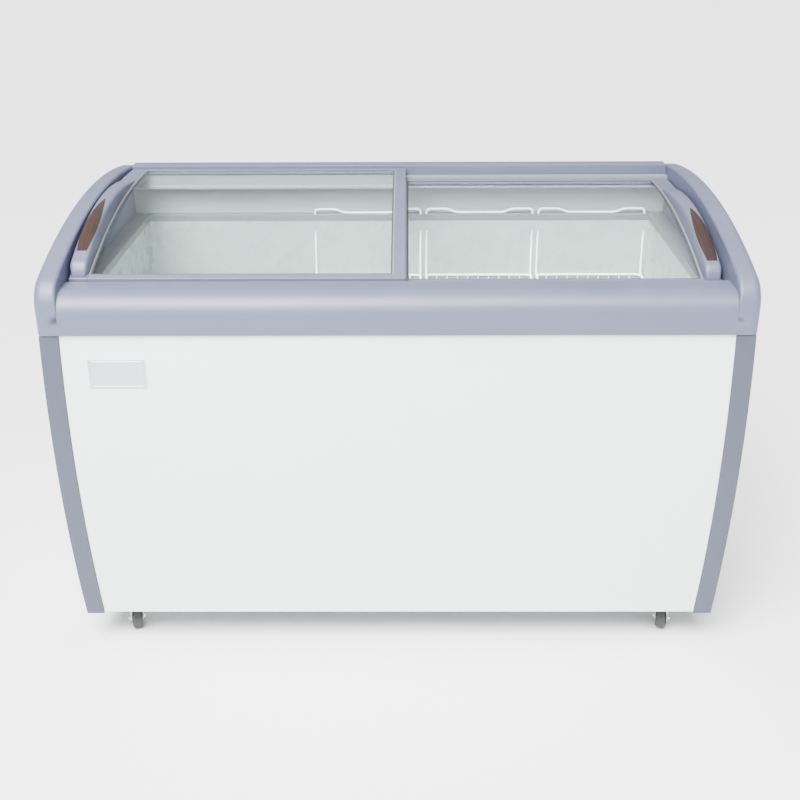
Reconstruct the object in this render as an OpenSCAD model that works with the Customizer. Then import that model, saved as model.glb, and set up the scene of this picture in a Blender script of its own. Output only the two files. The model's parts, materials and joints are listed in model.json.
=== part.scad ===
// Glass-top display chest freezer on four swivel casters.
// Millimetres. X is to the right as a customer faces it, Y is to the back, Z is up.
// The origin is on the floor, under the middle of the overall box.

/* [Overall size] */
// Width over the canopy
body_w = 1290; // [1075:5:1550]
// Depth over the canopy
body_d = 690; // [575:5:830]
// Height of the seam under the canopy
seam_z = 691; // [575:1:830]
// Gap between the floor and the cabinet's underside
floor_gap = 74; // [74:1:90]

/* [Cabinet] */
// How far the front leans back between the seam and the bottom
front_lean = 28; // [10:1:40]
// How far the front bulges past a straight line
front_bow = 13.3; // [5:0.1:20]
// How far each side leans in between the seam and the bottom
side_lean = 6; // [2:0.5:12]
// How far each side bulges past a straight line
side_bow = 5.5; // [2:0.5:10]
// Step from the canopy back to the corner posts
seam_step = 3; // [1:0.5:8]
// Thickness of the sheet steel panels
panel_t = 1.2; // [0.8:0.1:2]
// Width of each leg of a corner post
post_leg = 36; // [28:1:50]
// Wall of the corner posts
post_t = 4; // [3:0.5:6]
// Step from the canopy's back to the rear panel
rear_step = 5; // [4:0.5:10]

/* [Canopy] */
// Wall of the canopy mouldings
shell_t = 4; // [3:0.5:6]
// Width of each cheek
cheek_w = 41; // [34:1:50]
// Radius of the cheek's crown, seen from the side
crown_r = 1400; // [1200:10:1800]
// Height of the crown above the seam, 60 mm behind the front
crown_front_h = 107.5; // [95:0.5:125]
// Height of the crown above the seam at the back
crown_back_h = 153.4; // [140:0.5:180]
// Radius where the crown turns down to the front
crown_bend_r = 58; // [45:1:70]
// Height of the apron above the seam
apron_h = 75; // [65:1:90]
// Depth of the apron from front to back
apron_d = 83; // [75:1:95]
// Rounding of the apron's top front edge
apron_r = 42; // [25:1:50]
// Height of the rear rail above the seam
rear_rail_h = 159; // [150:1:180]
// Depth of the rear rail from front to back
rear_rail_d = 37; // [30:1:45]

/* [Lids] */
// Radius of the left lid's glass, seen from the side
lid_r = 1410; // [1200:10:1800]
// Height of the left lid's glass above the seam, 100 mm behind the front
lid_front_h = 81; // [76:0.5:90]
// Height of the left lid's glass above the seam, 45 mm ahead of the back
lid_back_h = 151; // [140:0.5:160]
// Thickness of the glass
glass_t = 5; // [4:0.5:6]
// Thickness of the lid frames
lid_t = 12; // [10:0.5:14]
// How much lower the right lid runs
lid_drop = 21; // [19:0.5:26]
// Width of the stile at each lid's inner edge
stile_w = 22; // [16:1:30]
// Where the two stiles cross, right of the middle
stile_x = 5; // [-20:1:20]
// Width of each side rail under the grip
side_rail_w = 34; // [28:1:41]
// Gap between a closed lid and its cheek
lid_side_gap = 4; // [2:0.5:8]
// Height of the grip above the lid frame
grip_h = 30; // [20:1:36]
// Radius of the grip's back, seen from the side
grip_r = 700; // [580:10:840]
// Length of the leaf that the wooden inlay is cut from
inlay_len = 260; // [217:1:312]
// Width of the wooden inlay at its widest
inlay_w = 27; // [20:1:30]
// Thickness of the wooden inlay
inlay_t = 3; // [2:0.5:5]

/* [Inside] */
// Wall of the inner liner
liner_t = 1; // [0.8:0.1:2]
// Insulation between the liner and each side
side_foam = 76.2; // [60:0.1:95]
// Insulation between the liner and the back
rear_foam = 61; // [50:1:80]
// Distance from the front of the apron to the liner
front_foam = 102; // [96:1:125]
// Height of the liner floor above the cabinet's underside
floor_foam = 71; // [50:1:90]
// Height of the ledge above the seam
ledge_h = 51; // [44:1:56]
// Height of the ledge trim's face
ledge_face = 15; // [10:1:20]
// Diameter of the evaporator tube
coil_d = 8; // [6:0.5:10]
// Length of the compressor compartment
machine_w = 300; // [280:5:330]
// Height of the compressor compartment
machine_h = 226; // [215:1:240]

/* [Baskets] */
// Width of a basket
basket_w = 246; // [200:1:250]
// Spacing of the baskets
basket_pitch = 255; // [252:1:275]
// Gap between the last basket and the liner
basket_gap = 6.8; // [4:0.1:20]
// Drop from the ledge to the basket's rim
basket_drop = 142; // [110:1:180]
// Depth of the basket below its rim
basket_h = 160; // [120:1:180]
// Diameter of the basket's frame wire
wire_d = 5; // [4:0.5:6]
// Diameter of the basket's mesh wire
mesh_d = 3; // [2:0.5:4]

/* [Casters] */
// Diameter of a wheel
wheel_d = 50; // [40:1:54]
// Width of a wheel
wheel_w = 20; // [14:1:24]
// Distance from a caster's swivel axis to the end of the cabinet
caster_inset_x = 99; // [90:1:150]
// Distance from a caster's swivel axis to the front or the back
caster_inset_y = 73; // [70:1:120]
// Distance from the swivel axis back to the axle
caster_trail = 18; // [10:1:22]
// Angle that the wheels are turned out at rest
caster_yaw = 20; // [0:1:45]
// Diameter of an axle
axle_d = 6; // [5:0.5:8]

/* [Hidden] */
$fn = 64;
big_fn = 720;
eps = 0.01;

// Outer faces
x_out = body_w / 2;
y_front = -body_d / 2;
y_back = body_d / 2;
x_cheek = x_out - cheek_w;
joint_gap = 0.5;
seat_gap = 0.1;

// Radius of an arc from its chord and its height
function bow_radius(chord, bow) = chord * chord / (8 * bow) + bow / 2;
// Centre of a circle of radius r through p and q, on the side to the right of p to q
function arc_centre(p, q, r) =
  let (d = q - p, c = norm(d), h = sqrt(r * r - c * c / 4))
  (p + q) / 2 + h * [d[1], -d[0]] / c;
// Height of a circle's top half at y
function arc_z(centre, r, y) = centre[1] + sqrt(r * r - pow(y - centre[0], 2));

// Bowed front and sides
front_top = [y_front + seam_step, seam_z];
front_low = [y_front + seam_step + front_lean, floor_gap];
front_bow_r = bow_radius(norm(front_top - front_low), front_bow);
front_c = arc_centre(front_low, front_top, front_bow_r);
side_top = [x_out - seam_step, seam_z];
side_low = [x_out - seam_step - side_lean, floor_gap];
side_bow_r = bow_radius(norm(side_top - side_low), side_bow);
side_c = arc_centre(side_top, side_low, side_bow_r);
function side_x(z, inset) =
  side_c[0] + sqrt(pow(side_bow_r - inset, 2) - pow(z - side_c[1], 2));

// Canopy crown and its bend
crown_c = arc_centre([y_front + 60, seam_z + crown_front_h],
                     [y_back, seam_z + crown_back_h], crown_r);
bend_c = [
  y_front + crown_bend_r,
  crown_c[1] + sqrt(pow(crown_r - crown_bend_r, 2)
                    - pow(y_front + crown_bend_r - crown_c[0], 2))
];
bend_a = atan2(bend_c[1] - crown_c[1], bend_c[0] - crown_c[0]);
lap = 10;
y_apron = y_front + apron_d;
y_rail = y_back - rear_rail_d;
z_rail = seam_z + rear_rail_h;
apron_z = seam_z + apron_h;

// Lids: both turn about one centre line, so the gap between them is even
lid_c = arc_centre([y_front + 100, seam_z + lid_front_h],
                   [y_back - 45, seam_z + lid_back_h], lid_r);
lid_cover = 2;
front_rail_w = 13;
rear_rail_w = 18;
track_wall = 2;
track_slack = 1;
track_floor = 3;
foot_gap = 0.3;
foot_clear = 2.3;
foot_len = 30;
foot_w = 8;
left_y0 = y_apron + 4;
left_y1 = y_rail - 2;
right_y0 = left_y0 + front_rail_w + 2 * track_slack + track_wall;
right_y1 = left_y1 - rear_rail_w - 2 * track_slack - track_wall;
x_lid = x_cheek - lid_side_gap;
left_x1 = stile_x + stile_w / 2;
right_x0 = stile_x - stile_w / 2;
left_lid_r = lid_r;
right_lid_r = lid_r - lid_drop;
function frame_bottom(r, y) = arc_z(lid_c, r + lid_cover - lid_t, y);
left_front_floor = frame_bottom(left_lid_r, left_y0) - foot_clear;
right_front_floor = frame_bottom(right_lid_r, right_y0) - foot_clear;
left_rear_floor = frame_bottom(left_lid_r, left_y1) - foot_clear - 1;
right_rear_floor = frame_bottom(right_lid_r, right_y1) - foot_clear - 1;
hook_lip_w = 6;
y_lip = right_y0 + front_rail_w + track_slack;
y_hook = y_lip + hook_lip_w;
hook_lip_z = frame_bottom(right_lid_r, y_lip) - wire_d - 2;

// Liner
x_liner = x_out - side_foam;
y_liner0 = y_front + front_foam;
y_liner1 = y_back - rear_foam;
z_floor = floor_gap + floor_foam;
z_ledge = seam_z + ledge_h;
z_liner = z_ledge - ledge_face;
liner_corner = 10;
base_t = 2;
z_base = floor_gap + base_t;
z_machine = z_base + machine_h;
x_machine = x_out - post_t - machine_w;
hump_foam = 63;
x_hump = x_machine - hump_foam;
z_hump = z_machine + hump_foam;
coil_turns = 6;
coil_step = 42;
coil_top = z_liner - 40;

// Baskets
basket_x = [for (i = [2:-1:0]) x_liner - basket_gap - basket_w / 2 - i * basket_pitch];
hook_gap = 0.3;
weld_gap = 0.1;
z_rim = z_ledge - basket_drop;
basket_y0 = y_hook + 6;
basket_y1 = y_liner1 - 5;
hook_rise = 8;

// Casters
caster_x = x_out - caster_inset_x;
caster_y = y_back - caster_inset_y;
caster_plate_w = 60;
caster_plate_t = 3;
caster_hole = 22;
caster_bolt_d = 6;
plate_z = floor_gap - caster_plate_t;
fork_top = plate_z - 4.5;
fork_t = 2.5;
fork_gap = 1;
king_d = 10;
run_gap = 0.06;

// Machine compartment
comp_x = x_machine + 101;
comp_y = 165;
comp_r = 76;
fan_y = -40;
fan_z = z_base + 112;
fan_r = 82;
shroud_x = x_out - 105;
cond_x = x_out - 82;
cond_w = 44;
grille_y0 = -250;
grille_y1 = 110;
grille_z0 = floor_gap + 22;
grille_z1 = floor_gap + 218;
knob_y = -205;
knob_z = floor_gap + 150;
knob_r = 19;
drain_x = -420;
drain_y = -120;
drain_r = 9;
gland_x = x_out - 120;
gland_z = floor_gap + 60;

// Small fittings
wall_up = 1.5;
left_wall_y = left_y0 + front_rail_w + track_slack;
y_leg = y_liner0 - liner_t - track_wall;
rear_wall_y = right_y1 + track_slack;
rear_lip_y = right_y1 - rear_rail_w - track_slack - track_wall;
lining_t = 3;
trim_t = 3;
y_ledge1 = y_rail - 2;
tray_h = 12;
badge_inset = 137;
badge_x = -body_w / 2 + badge_inset;
badge_z = seam_z - 75;
badge_w = 105;
badge_h = 56;
badge_t = 1.2;
thermo_y = 140;
thermo_z = z_ledge + 32;
screw_d = 4;
head_d = 8;
gland_d = 18;
grille_lap = 14;
slot_step = 16;
slot_h = 7;
grille_screws = [for (y = [grille_y0 + 8, grille_y1 - 8], z = [grille_z0 + 8, grille_z1 - 8]) [y, z]];
rear_screws = [for (x = [-x_out + 62, -200, 200, x_out - 62], z = [floor_gap + 30, seam_z - 30]) [x, z]];
drain_wall = 2;
drain_bore = drain_r - 1.5;
comp_z = z_base + 17;
foot_t = 3;
comp_h = 150;
comp_dome = 38;
dome_r = 95;
comp_foot_x = 62;
comp_foot_y = 84;
comp_feet = [for (dx = [-comp_foot_x, comp_foot_x], dy = [-comp_foot_y, comp_foot_y])
             [comp_x + dx, comp_y + dy]];
mount_d = 20;
mount_neck_d = 12;
stud_d = 6;
cond_y0 = fan_y - 92;
cond_h = 178;
fin_n = 20;
fin_t = 1;
fin_step = 9;
drier_x = x_out - 40;
drier_y = cond_y0 + fin_n * fin_step + 34;
shaft_d = 6;
bolt_head_h = 4;
bolt_head_d = 10;
glass_edge = 6;
grip_y = y_front + 250;
grip_tip = 3;
grip_in = 0.5;
inlay_shift = -50;
inlay_cut = 60;
hook_back = 11;
dip_half = 62;
mesh_nx = 5;
mesh_ny = 9;

// A 2D shape in Y and Z, extruded along X from x0 to x1
module along_x(x0, x1)
  translate([x0, 0, 0]) rotate([90, 0, 90]) linear_extrude(x1 - x0) children();

// A 2D shape in X and Z, extruded along Y from y0 to y1
module along_y(y0, y1)
  translate([0, y1, 0]) rotate([90, 0, 0]) linear_extrude(y1 - y0) children();

// A box from its low corner to its high corner
module span(low, high) translate(low) cube(high - low);

// A rod along one axis, from its start
module rod_x(p, len, d) translate(p) rotate([0, 90, 0]) cylinder(h = len, d = d);
module rod_y(p, len, d) translate(p) rotate([-90, 0, 0]) cylinder(h = len, d = d);
module rod_z(p, len, d) translate(p) cylinder(h = len, d = d);

// A rectangle with four rounded corners
module rounded_rect(low, high, r) {
  translate([low[0] + r, low[1]]) square([high[0] - low[0] - 2 * r, high[1] - low[1]]);
  translate([low[0], low[1] + r]) square([high[0] - low[0], high[1] - low[1] - 2 * r]);
  for (x = [low[0] + r, high[0] - r], y = [low[1] + r, high[1] - r])
    translate([x, y]) circle(r);
}

// The cabinet's bowed outline between z0 and z1, set in from the sides and from the front and back
module cabinet_body(x_inset, y_inset, z0, z1)
  intersection() {
    along_x(-body_w, body_w) intersection() {
      translate(front_c) circle(front_bow_r - y_inset, $fn = big_fn);
      translate([-body_d, z0]) square([body_d + y_back - y_inset, z1 - z0]);
    }
    along_y(-body_d, body_d) intersection() {
      translate(side_c) circle(side_bow_r - x_inset, $fn = big_fn);
      mirror([1, 0]) translate(side_c) circle(side_bow_r - x_inset, $fn = big_fn);
    }
  }

panel_top = seam_z - joint_gap;
post_low = floor_gap - 2;
panel_in = post_t - panel_t;

// One L-shaped corner post; sx is -1 or 1 for left or right, sy for front or back
module corner_post(sx, sy)
  color("lightslategray") intersection() {
    translate([sx * body_w / 2, sy * body_d / 2, seam_z / 2]) cube([body_w, body_d, seam_z], center = true);
    difference() {
      cabinet_body(0, 0, post_low, panel_top);
      cabinet_body(post_t, post_t, post_low - 1, seam_z);
      cabinet_body(post_leg, -1, post_low - 1, seam_z);
      cabinet_body(-1, post_leg, post_low - 1, seam_z);
    }
  }
module front_left_post() corner_post(-1, -1);
module front_right_post() corner_post(1, -1);
module rear_left_post() corner_post(-1, 1);
module rear_right_post() corner_post(1, 1);

panel_low = floor_gap + 1;
panel_edge = post_leg + 0.3;

module front_panel()
  color("white") intersection() {
    difference() {
      cabinet_body(panel_edge, panel_in, panel_low, panel_top);
      cabinet_body(panel_edge - 1, post_t, panel_low - 1, seam_z);
    }
    span([-body_w, -body_d, 0], [body_w, 0, seam_z]);
  }

module side_panel(sx)
  intersection() {
    difference() {
      cabinet_body(panel_in, panel_edge, panel_low, panel_top);
      cabinet_body(post_t, panel_edge - 1, panel_low - 1, seam_z);
    }
    translate([sx * body_w / 2, 0, seam_z / 2]) cube([body_w, 2 * body_d, 2 * seam_z], center = true);
  }
module left_panel() color("white") side_panel(-1);
module right_panel()
  color("white") difference() {
    side_panel(1);
    span([0, grille_y0 + grille_lap, grille_z0 + grille_lap],
         [body_w, grille_y1 - grille_lap, grille_z1 - grille_lap]);
    for (p = grille_screws) rod_x([x_out - 40, p[0], p[1]], 60, screw_d);
  }

rear_y = y_back - rear_step;
module rear_panel()
  color("white") difference() {
    intersection() {
      cabinet_body(panel_edge, 0, panel_low, panel_top);
      span([-body_w, rear_y - panel_t, 0], [body_w, rear_y, seam_z]);
    }
    rod_y([gland_x, 0, gland_z], body_d, gland_d);
    for (p = rear_screws) rod_y([p[0], 0, p[1]], body_d, screw_d);
  }

// Steel tray under the cabinet, with a turned-up edge
module base_pan()
  color("silver") difference() {
    cabinet_body(post_t + seat_gap, post_t + rear_step, floor_gap, floor_gap + tray_h);
    cabinet_body(post_t + seat_gap + base_t, post_t + rear_step + base_t, z_base, floor_gap + tray_h + 1);
    rod_z([drain_x, drain_y, 0], seam_z, 2 * drain_r);
    for (x = [-caster_x, caster_x], y = [-caster_y, caster_y], dx = [-caster_hole, caster_hole],
         dy = [-caster_hole, caster_hole])
      rod_z([x + dx, y + dy, 0], seam_z, caster_bolt_d + 0.2);
    for (p = comp_feet) rod_z([p[0], p[1], 0], seam_z, stud_d);
  }

// Side view of a cheek, set in from the crown and the front by one value, from z0 up
module cheek_outline(inset, z0)
  intersection() {
    union() {
      intersection() {
        translate(crown_c) circle(crown_r - inset, $fn = big_fn);
        translate([crown_c[0] + (crown_r - inset) * cos(bend_a), z0]) square(body_d);
      }
      translate(bend_c) circle(crown_bend_r - inset);
      translate([y_front + inset, z0]) square([crown_bend_r, bend_c[1] - z0]);
    }
    translate([-body_d, z0]) square([body_d + y_back - min(inset, shell_t), body_d]);
  }

// The apron between the cheeks, set in by one value
module apron_body(inset, z0) {
  r = apron_r - inset;
  y0 = y_front + inset;
  y1 = y_apron - inset;
  top = apron_z - inset;
  along_x(-x_cheek - shell_t - lap, x_cheek + shell_t + lap) {
    translate([y0, z0]) square([y1 - y0, top - r - z0]);
    translate([y0 + r, z0]) square([y1 - y0 - r, top - z0]);
    intersection() {
      translate([y0 + r, top - r]) circle(r);
      translate([y0, top - r]) square(r);
    }
  }
}

// Apron and both cheeks, one hollow moulding that is open underneath
module canopy_frame()
  color("lightslategray") difference() {
    union() {
      along_x(x_cheek, x_out) cheek_outline(0, seam_z);
      along_x(-x_out, -x_cheek) cheek_outline(0, seam_z);
      apron_body(0, seam_z);
    }
    along_x(x_cheek + shell_t, x_out - shell_t) cheek_outline(shell_t, seam_z - 1);
    along_x(shell_t - x_out, -x_cheek - shell_t) cheek_outline(shell_t, seam_z - 1);
    apron_body(shell_t, seam_z - 1);
  }

// Rear top rail of the canopy, between the cheeks
module rear_rail()
  color("lightslategray") along_x(-x_cheek + seat_gap, x_cheek - seat_gap) {
    translate([y_rail, z_rail - shell_t]) square([rear_rail_d, shell_t]);
    translate([y_back - shell_t, seam_z]) square([shell_t, rear_rail_h - shell_t]);
    translate([y_rail, left_rear_floor - track_floor])
      square([track_wall, z_rail - shell_t - left_rear_floor + track_floor]);
  }

// Stepped track behind the apron: the left lid runs in front of the right one
module front_track()
  color("silver") along_x(-x_cheek + seat_gap, x_cheek - seat_gap) {
    // Floor under the left lid
    translate([y_apron, left_front_floor - track_floor])
      square([left_wall_y + track_wall - y_apron, track_floor]);
    // Wall between the two lids
    translate([left_wall_y, right_front_floor - track_floor])
      square([track_wall, left_front_floor + wall_up - right_front_floor + track_floor]);
    // Floor under the right lid
    translate([left_wall_y, right_front_floor - track_floor])
      square([y_hook - left_wall_y, track_floor]);
    // Lip that the baskets hook over
    translate([y_lip, right_front_floor - track_floor])
      square([hook_lip_w, hook_lip_z - right_front_floor + track_floor]);
    // Leg down to the liner's flange
    translate([y_leg, z_liner]) square([track_wall, right_front_floor - track_floor - z_liner]);
  }

// Stepped track ahead of the rear rail
module rear_track()
  color("silver") along_x(-x_cheek + seat_gap, x_cheek - seat_gap) {
    translate([rear_wall_y, left_rear_floor - track_floor])
      square([y_rail - rear_wall_y, track_floor]);
    translate([rear_wall_y, right_rear_floor - track_floor])
      square([track_wall, left_rear_floor + wall_up - right_rear_floor + track_floor]);
    translate([rear_lip_y, right_rear_floor - track_floor])
      square([rear_wall_y + track_wall - rear_lip_y, track_floor]);
    translate([rear_lip_y, right_rear_floor - track_floor])
      square([track_wall, wall_up + track_floor]);
  }

// Upper inside wall between the ledge and the rear track
module rear_lining()
  color("gainsboro") span([-x_cheek + seat_gap, y_ledge1 - lining_t, z_ledge],
                          [x_cheek - seat_gap, y_ledge1, left_rear_floor - track_floor]);

// Grey step around the top of the liner, on three sides
module ledge_trim() {
  x1 = x_cheek - seat_gap;
  color("gray") difference() {
    span([-x1, y_hook + seat_gap, z_liner], [x1, y_ledge1, z_ledge]);
    span([-x_liner, -body_d, 0], [x_liner, y_liner1, body_d * 2]);
    for (m = [0, 1]) mirror([m, 0, 0])
      span([x_liner + trim_t, y_hook + seat_gap + trim_t, z_liner - 1],
           [x1 + 1, y_ledge1 + 1, z_ledge - trim_t]);
    span([-x1 - 1, y_liner1 + trim_t, z_liner - 1], [x1 + 1, y_ledge1 + 1, z_ledge - trim_t]);
  }
}

// The tub's outline at one level, grown by one value, up to x1 on the right
module tub(grow, z0, z1, x1)
  translate([0, 0, z0]) linear_extrude(z1 - z0)
    rounded_rect([-x_liner - grow, y_liner0 - grow], [x1 + grow, y_liner1 + grow], liner_corner + grow);

// Everything inside the tub: the main bay and the shallow bay over the compressor
module tub_space(grow, top) {
  tub(grow, z_floor - grow, top, x_hump);
  tub(grow, z_hump - grow, top, x_liner);
}

module liner()
  color("whitesmoke") difference() {
    union() {
      tub_space(liner_t, z_liner);
      span([-x_cheek + 1, y_leg, z_liner - liner_t], [x_cheek - 1, y_ledge1, z_liner]);
    }
    tub_space(0, z_liner + 1);
    rod_z([drain_x, drain_y, 0], z_liner - 50, 2 * drain_r);
  }

module coil_ring(z, d) {
  r = liner_corner + liner_t + coil_d / 2 + seat_gap;
  x = x_liner + liner_t + coil_d / 2 + seat_gap;
  y0 = y_liner0 - liner_t - coil_d / 2 - seat_gap;
  y1 = y_liner1 + liner_t + coil_d / 2 + seat_gap;
  for (y = [y0, y1]) rod_x([-x + r, y, z], 2 * (x - r), d);
  for (sx = [-x, x]) rod_y([sx, y0 + r, z], y1 - y0 - 2 * r, d);
  corners = [[x - r, y1 - r, 0], [-x + r, y1 - r, 90], [-x + r, y0 + r, 180], [x - r, y0 + r, 270]];
  for (c = corners) translate([c[0], c[1], z]) rotate([0, 0, c[2]])
    rotate_extrude(angle = 90) translate([r, 0]) circle(d = d);
}

// Cooling tube around the outside of the liner: turns joined by short risers
module evaporator_coil() {
  y1 = y_liner1 + liner_t + coil_d / 2 + seat_gap;
  color("peru") {
    for (i = [0:coil_turns - 1]) coil_ring(coil_top - i * coil_step, coil_d);
    for (i = [0:coil_turns - 2])
      rod_z([-200 + i * 60, y1, coil_top - (i + 1) * coil_step], coil_step, coil_d);
  }
}

// Foam between the liner and the cabinet, with the compressor compartment left open
module insulation_foam() {
  inner = liner_t + seat_gap;
  band = coil_d + 2 * seat_gap;
  color("khaki") difference() {
    union() {
      cabinet_body(post_t + seat_gap, post_t + rear_step, floor_gap + tray_h, seam_z - 1);
      span([-x_cheek + 1, y_leg - 1, seam_z - 2],
           [x_cheek - 1, y_back - post_t - rear_step, z_liner - liner_t - seat_gap]);
    }
    tub_space(inner, z_liner + 1);
    for (i = [0:coil_turns - 1]) foam_groove(coil_top - i * coil_step, band);
    span([-200 - band, y_liner1, coil_top - coil_turns * coil_step + band],
         [-200 + coil_turns * 60, y_liner1 + inner + band, coil_top]);
    span([x_machine, -body_d, 0], [body_w, body_d, z_machine]);
    rod_z([drain_x, drain_y, 0], z_liner - 50, 2 * drain_r + 2 * drain_wall);
    for (p = rear_screws) rod_y([p[0], rear_y - 16, p[1]], 20, screw_d + 1);
    for (x = [-caster_x, caster_x], y = [-caster_y, caster_y])
      span([x - caster_plate_w / 2, y - caster_plate_w / 2, 0],
           [x + caster_plate_w / 2, y + caster_plate_w / 2, z_base + 12]);
  }
}
module foam_groove(z, band)
  translate([0, 0, z - band / 2]) linear_extrude(band)
    rounded_rect([-x_liner - liner_t - band, y_liner0 - liner_t - band],
                 [x_liner + liner_t + band, y_liner1 + liner_t + band], liner_corner + liner_t + band);

// Blank plate on the front panel
module badge_plate()
  color("gainsboro") intersection() {
    difference() {
      cabinet_body(0, panel_in - badge_t, badge_z - badge_h / 2, badge_z + badge_h / 2);
      cabinet_body(-1, panel_in, 0, seam_z);
    }
    span([badge_x - badge_w / 2, -body_d, 0], [badge_x + badge_w / 2, 0, seam_z]);
  }

// Thermometer strip on the right inside wall
module thermometer_plate()
  color("gainsboro") span([x_cheek - 3, thermo_y - 38, thermo_z - 13],
                          [x_cheek, thermo_y + 38, thermo_z + 13]);

// Hermetic compressor: domed shell, foot plate and terminal box
module compressor() {
  color("dimgray") {
    translate([comp_x, comp_y, comp_z]) rotate_extrude() {
      square([comp_r, comp_h - comp_dome]);
      intersection() {
        translate([0, comp_h - comp_dome - 1]) square([comp_r, comp_dome + 1]);
        translate([0, comp_h - dome_r]) circle(dome_r);
      }
    }
    difference() {
      span([comp_x - comp_foot_x - 18, comp_y - comp_foot_y - 18, comp_z - foot_t],
           [comp_x + comp_foot_x + 18, comp_y + comp_foot_y + 18, comp_z]);
      for (p = comp_feet) rod_z([p[0], p[1], comp_z - foot_t - 1], foot_t + 2, mount_neck_d + 0.2);
    }
    span([comp_x - 30, comp_y - comp_r - 26, comp_z + 20],
         [comp_x + 30, comp_y - comp_r + 12, comp_z + 86]);
  }
}

// Four rubber grommets with their studs
module compressor_mounts()
  color("black") for (p = comp_feet) {
    rod_z([p[0], p[1], z_base], comp_z - foot_t - z_base, mount_d);
    rod_z([p[0], p[1], comp_z - foot_t - 1], foot_t + 2, mount_neck_d);
    rod_z([p[0], p[1], comp_z], 5, mount_d - 4);
    rod_z([p[0], p[1], floor_gap], base_t, stud_d);
  }

// Finned condenser block with its tube passes
module condenser() {
  color("silver") {
    for (i = [0:fin_n - 1])
      span([cond_x - cond_w / 2, cond_y0 + i * fin_step, z_base + 24],
           [cond_x + cond_w / 2, cond_y0 + i * fin_step + fin_t, z_base + 24 + cond_h]);
    for (k = [0:3], sx = [-1, 1])
      rod_y([cond_x + sx * cond_w / 4, cond_y0 - 8, z_base + 48 + k * 48], fin_n * fin_step + 12, coil_d);
    for (sx = [-1, 1])
      span([cond_x + sx * cond_w / 4 - 6, cond_y0 - 10, z_base],
           [cond_x + sx * cond_w / 4 + 6, cond_y0 - 7, z_base + 200]);
    span([cond_x - cond_w / 2, cond_y0 + (fin_n - 1) * fin_step + 6, z_base],
         [cond_x + cond_w / 2, cond_y0 + (fin_n - 1) * fin_step + 8, z_base + 24 + cond_h]);
  }
}

// Plate with a round duct for the fan
module fan_shroud()
  color("darkslategray") difference() {
    union() {
      span([shroud_x - 5, cond_y0 - 4, z_base],
           [shroud_x - 3, cond_y0 + fin_n * fin_step - 4, z_base + 24 + cond_h]);
      rod_x([shroud_x - 26, fan_y, fan_z], 23, 2 * fan_r + 12);
    }
    rod_x([shroud_x - 60, fan_y, fan_z], 120, 2 * fan_r + 6);
  }

// Motor on three arms, each with a foot on the duct's rim
module fan_motor()
  color("dimgray") difference() {
    union() {
      rod_x([shroud_x - 74, fan_y, fan_z], 45, 62);
      for (a = [90, 210, 330]) translate([shroud_x - 32, fan_y, fan_z]) rotate([a, 0, 0]) {
        span([0, -6, 20], [2, 6, fan_r + 5.5]);
        span([1, -6, fan_r + 3.5], [6, 6, fan_r + 5.5]);
      }
    }
    rod_x([shroud_x - 50, fan_y, fan_z], 30, 8 + 2 * run_gap);
  }

// Hub, shaft and pitched blades
module fan_blade()
  color("gainsboro") {
    rod_x([shroud_x - 26, fan_y, fan_z], 18, 44);
    rod_x([shroud_x - 46, fan_y, fan_z], 22, 8);
    for (a = [0:90:270]) translate([shroud_x - 17, fan_y, fan_z]) rotate([a, 0, 0])
      rotate([0, 0, 28]) span([-1, -22, 18], [1, 22, fan_r - 4]);
  }

// Copper can in the liquid line
module filter_drier()
  color("peru") rod_z([drier_x, drier_y, z_base + 60], 90, 24);

// Copper tube from point to point, with a round joint at each bend
module tube_path(points, d)
  for (i = [0:len(points) - 2]) {
    a = points[i];
    b = points[i + 1];
    v = b - a;
    translate(a) rotate([0, acos(v[2] / norm(v)), atan2(v[1], v[0])]) cylinder(h = norm(v), d = d);
    if (i > 0) translate(a) sphere(d = d);
  }

// Suction line into the foam, discharge line to the condenser and liquid line through the drier
module refrigerant_lines() {
  line_y = cond_y0 + fin_n * fin_step + 11;
  color("peru") {
    tube_path([[comp_x + comp_r - 0.1, comp_y, comp_z + 60], [comp_x + comp_r + 24, comp_y, comp_z + 60],
               [comp_x + comp_r + 24, comp_y, z_machine]], 8);
    tube_path([[comp_x + 20, comp_y - comp_r - 26, comp_z + 40], [comp_x + 20, line_y, comp_z + 40],
               [comp_x + 20, line_y, z_base + 48], [cond_x - cond_w / 4, line_y, z_base + 48],
               [cond_x - cond_w / 4, line_y - 7, z_base + 48]], 6);
    tube_path([[drier_x, drier_y, z_base + 150], [drier_x, drier_y, z_machine]], 5);
    tube_path([[drier_x, drier_y, z_base + 60], [drier_x, drier_y, z_base + 44],
               [cond_x + cond_w / 4, drier_y, z_base + 44]], 5);
  }
}

// Box behind the grille that holds the thermostat
module control_box()
  color("dimgray") difference() {
    span([x_out - 70, grille_y0 + 8, z_base + 60], [x_out - 22, knob_y + 36, z_base + 200]);
    rod_x([x_out - 60, knob_y, knob_z], 60, shaft_d + 2 * run_gap);
  }

// Round knob on its shaft
module thermostat_knob()
  color("white") {
    rod_x([x_out - 18.5, knob_y, knob_z], 14, 2 * knob_r);
    rod_x([x_out - 50, knob_y, knob_z], 36, shaft_d);
    span([x_out - 5, knob_y - 2.5, knob_z - knob_r + 2], [x_out - 2.5, knob_y + 2.5, knob_z + knob_r - 2]);
  }

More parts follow.
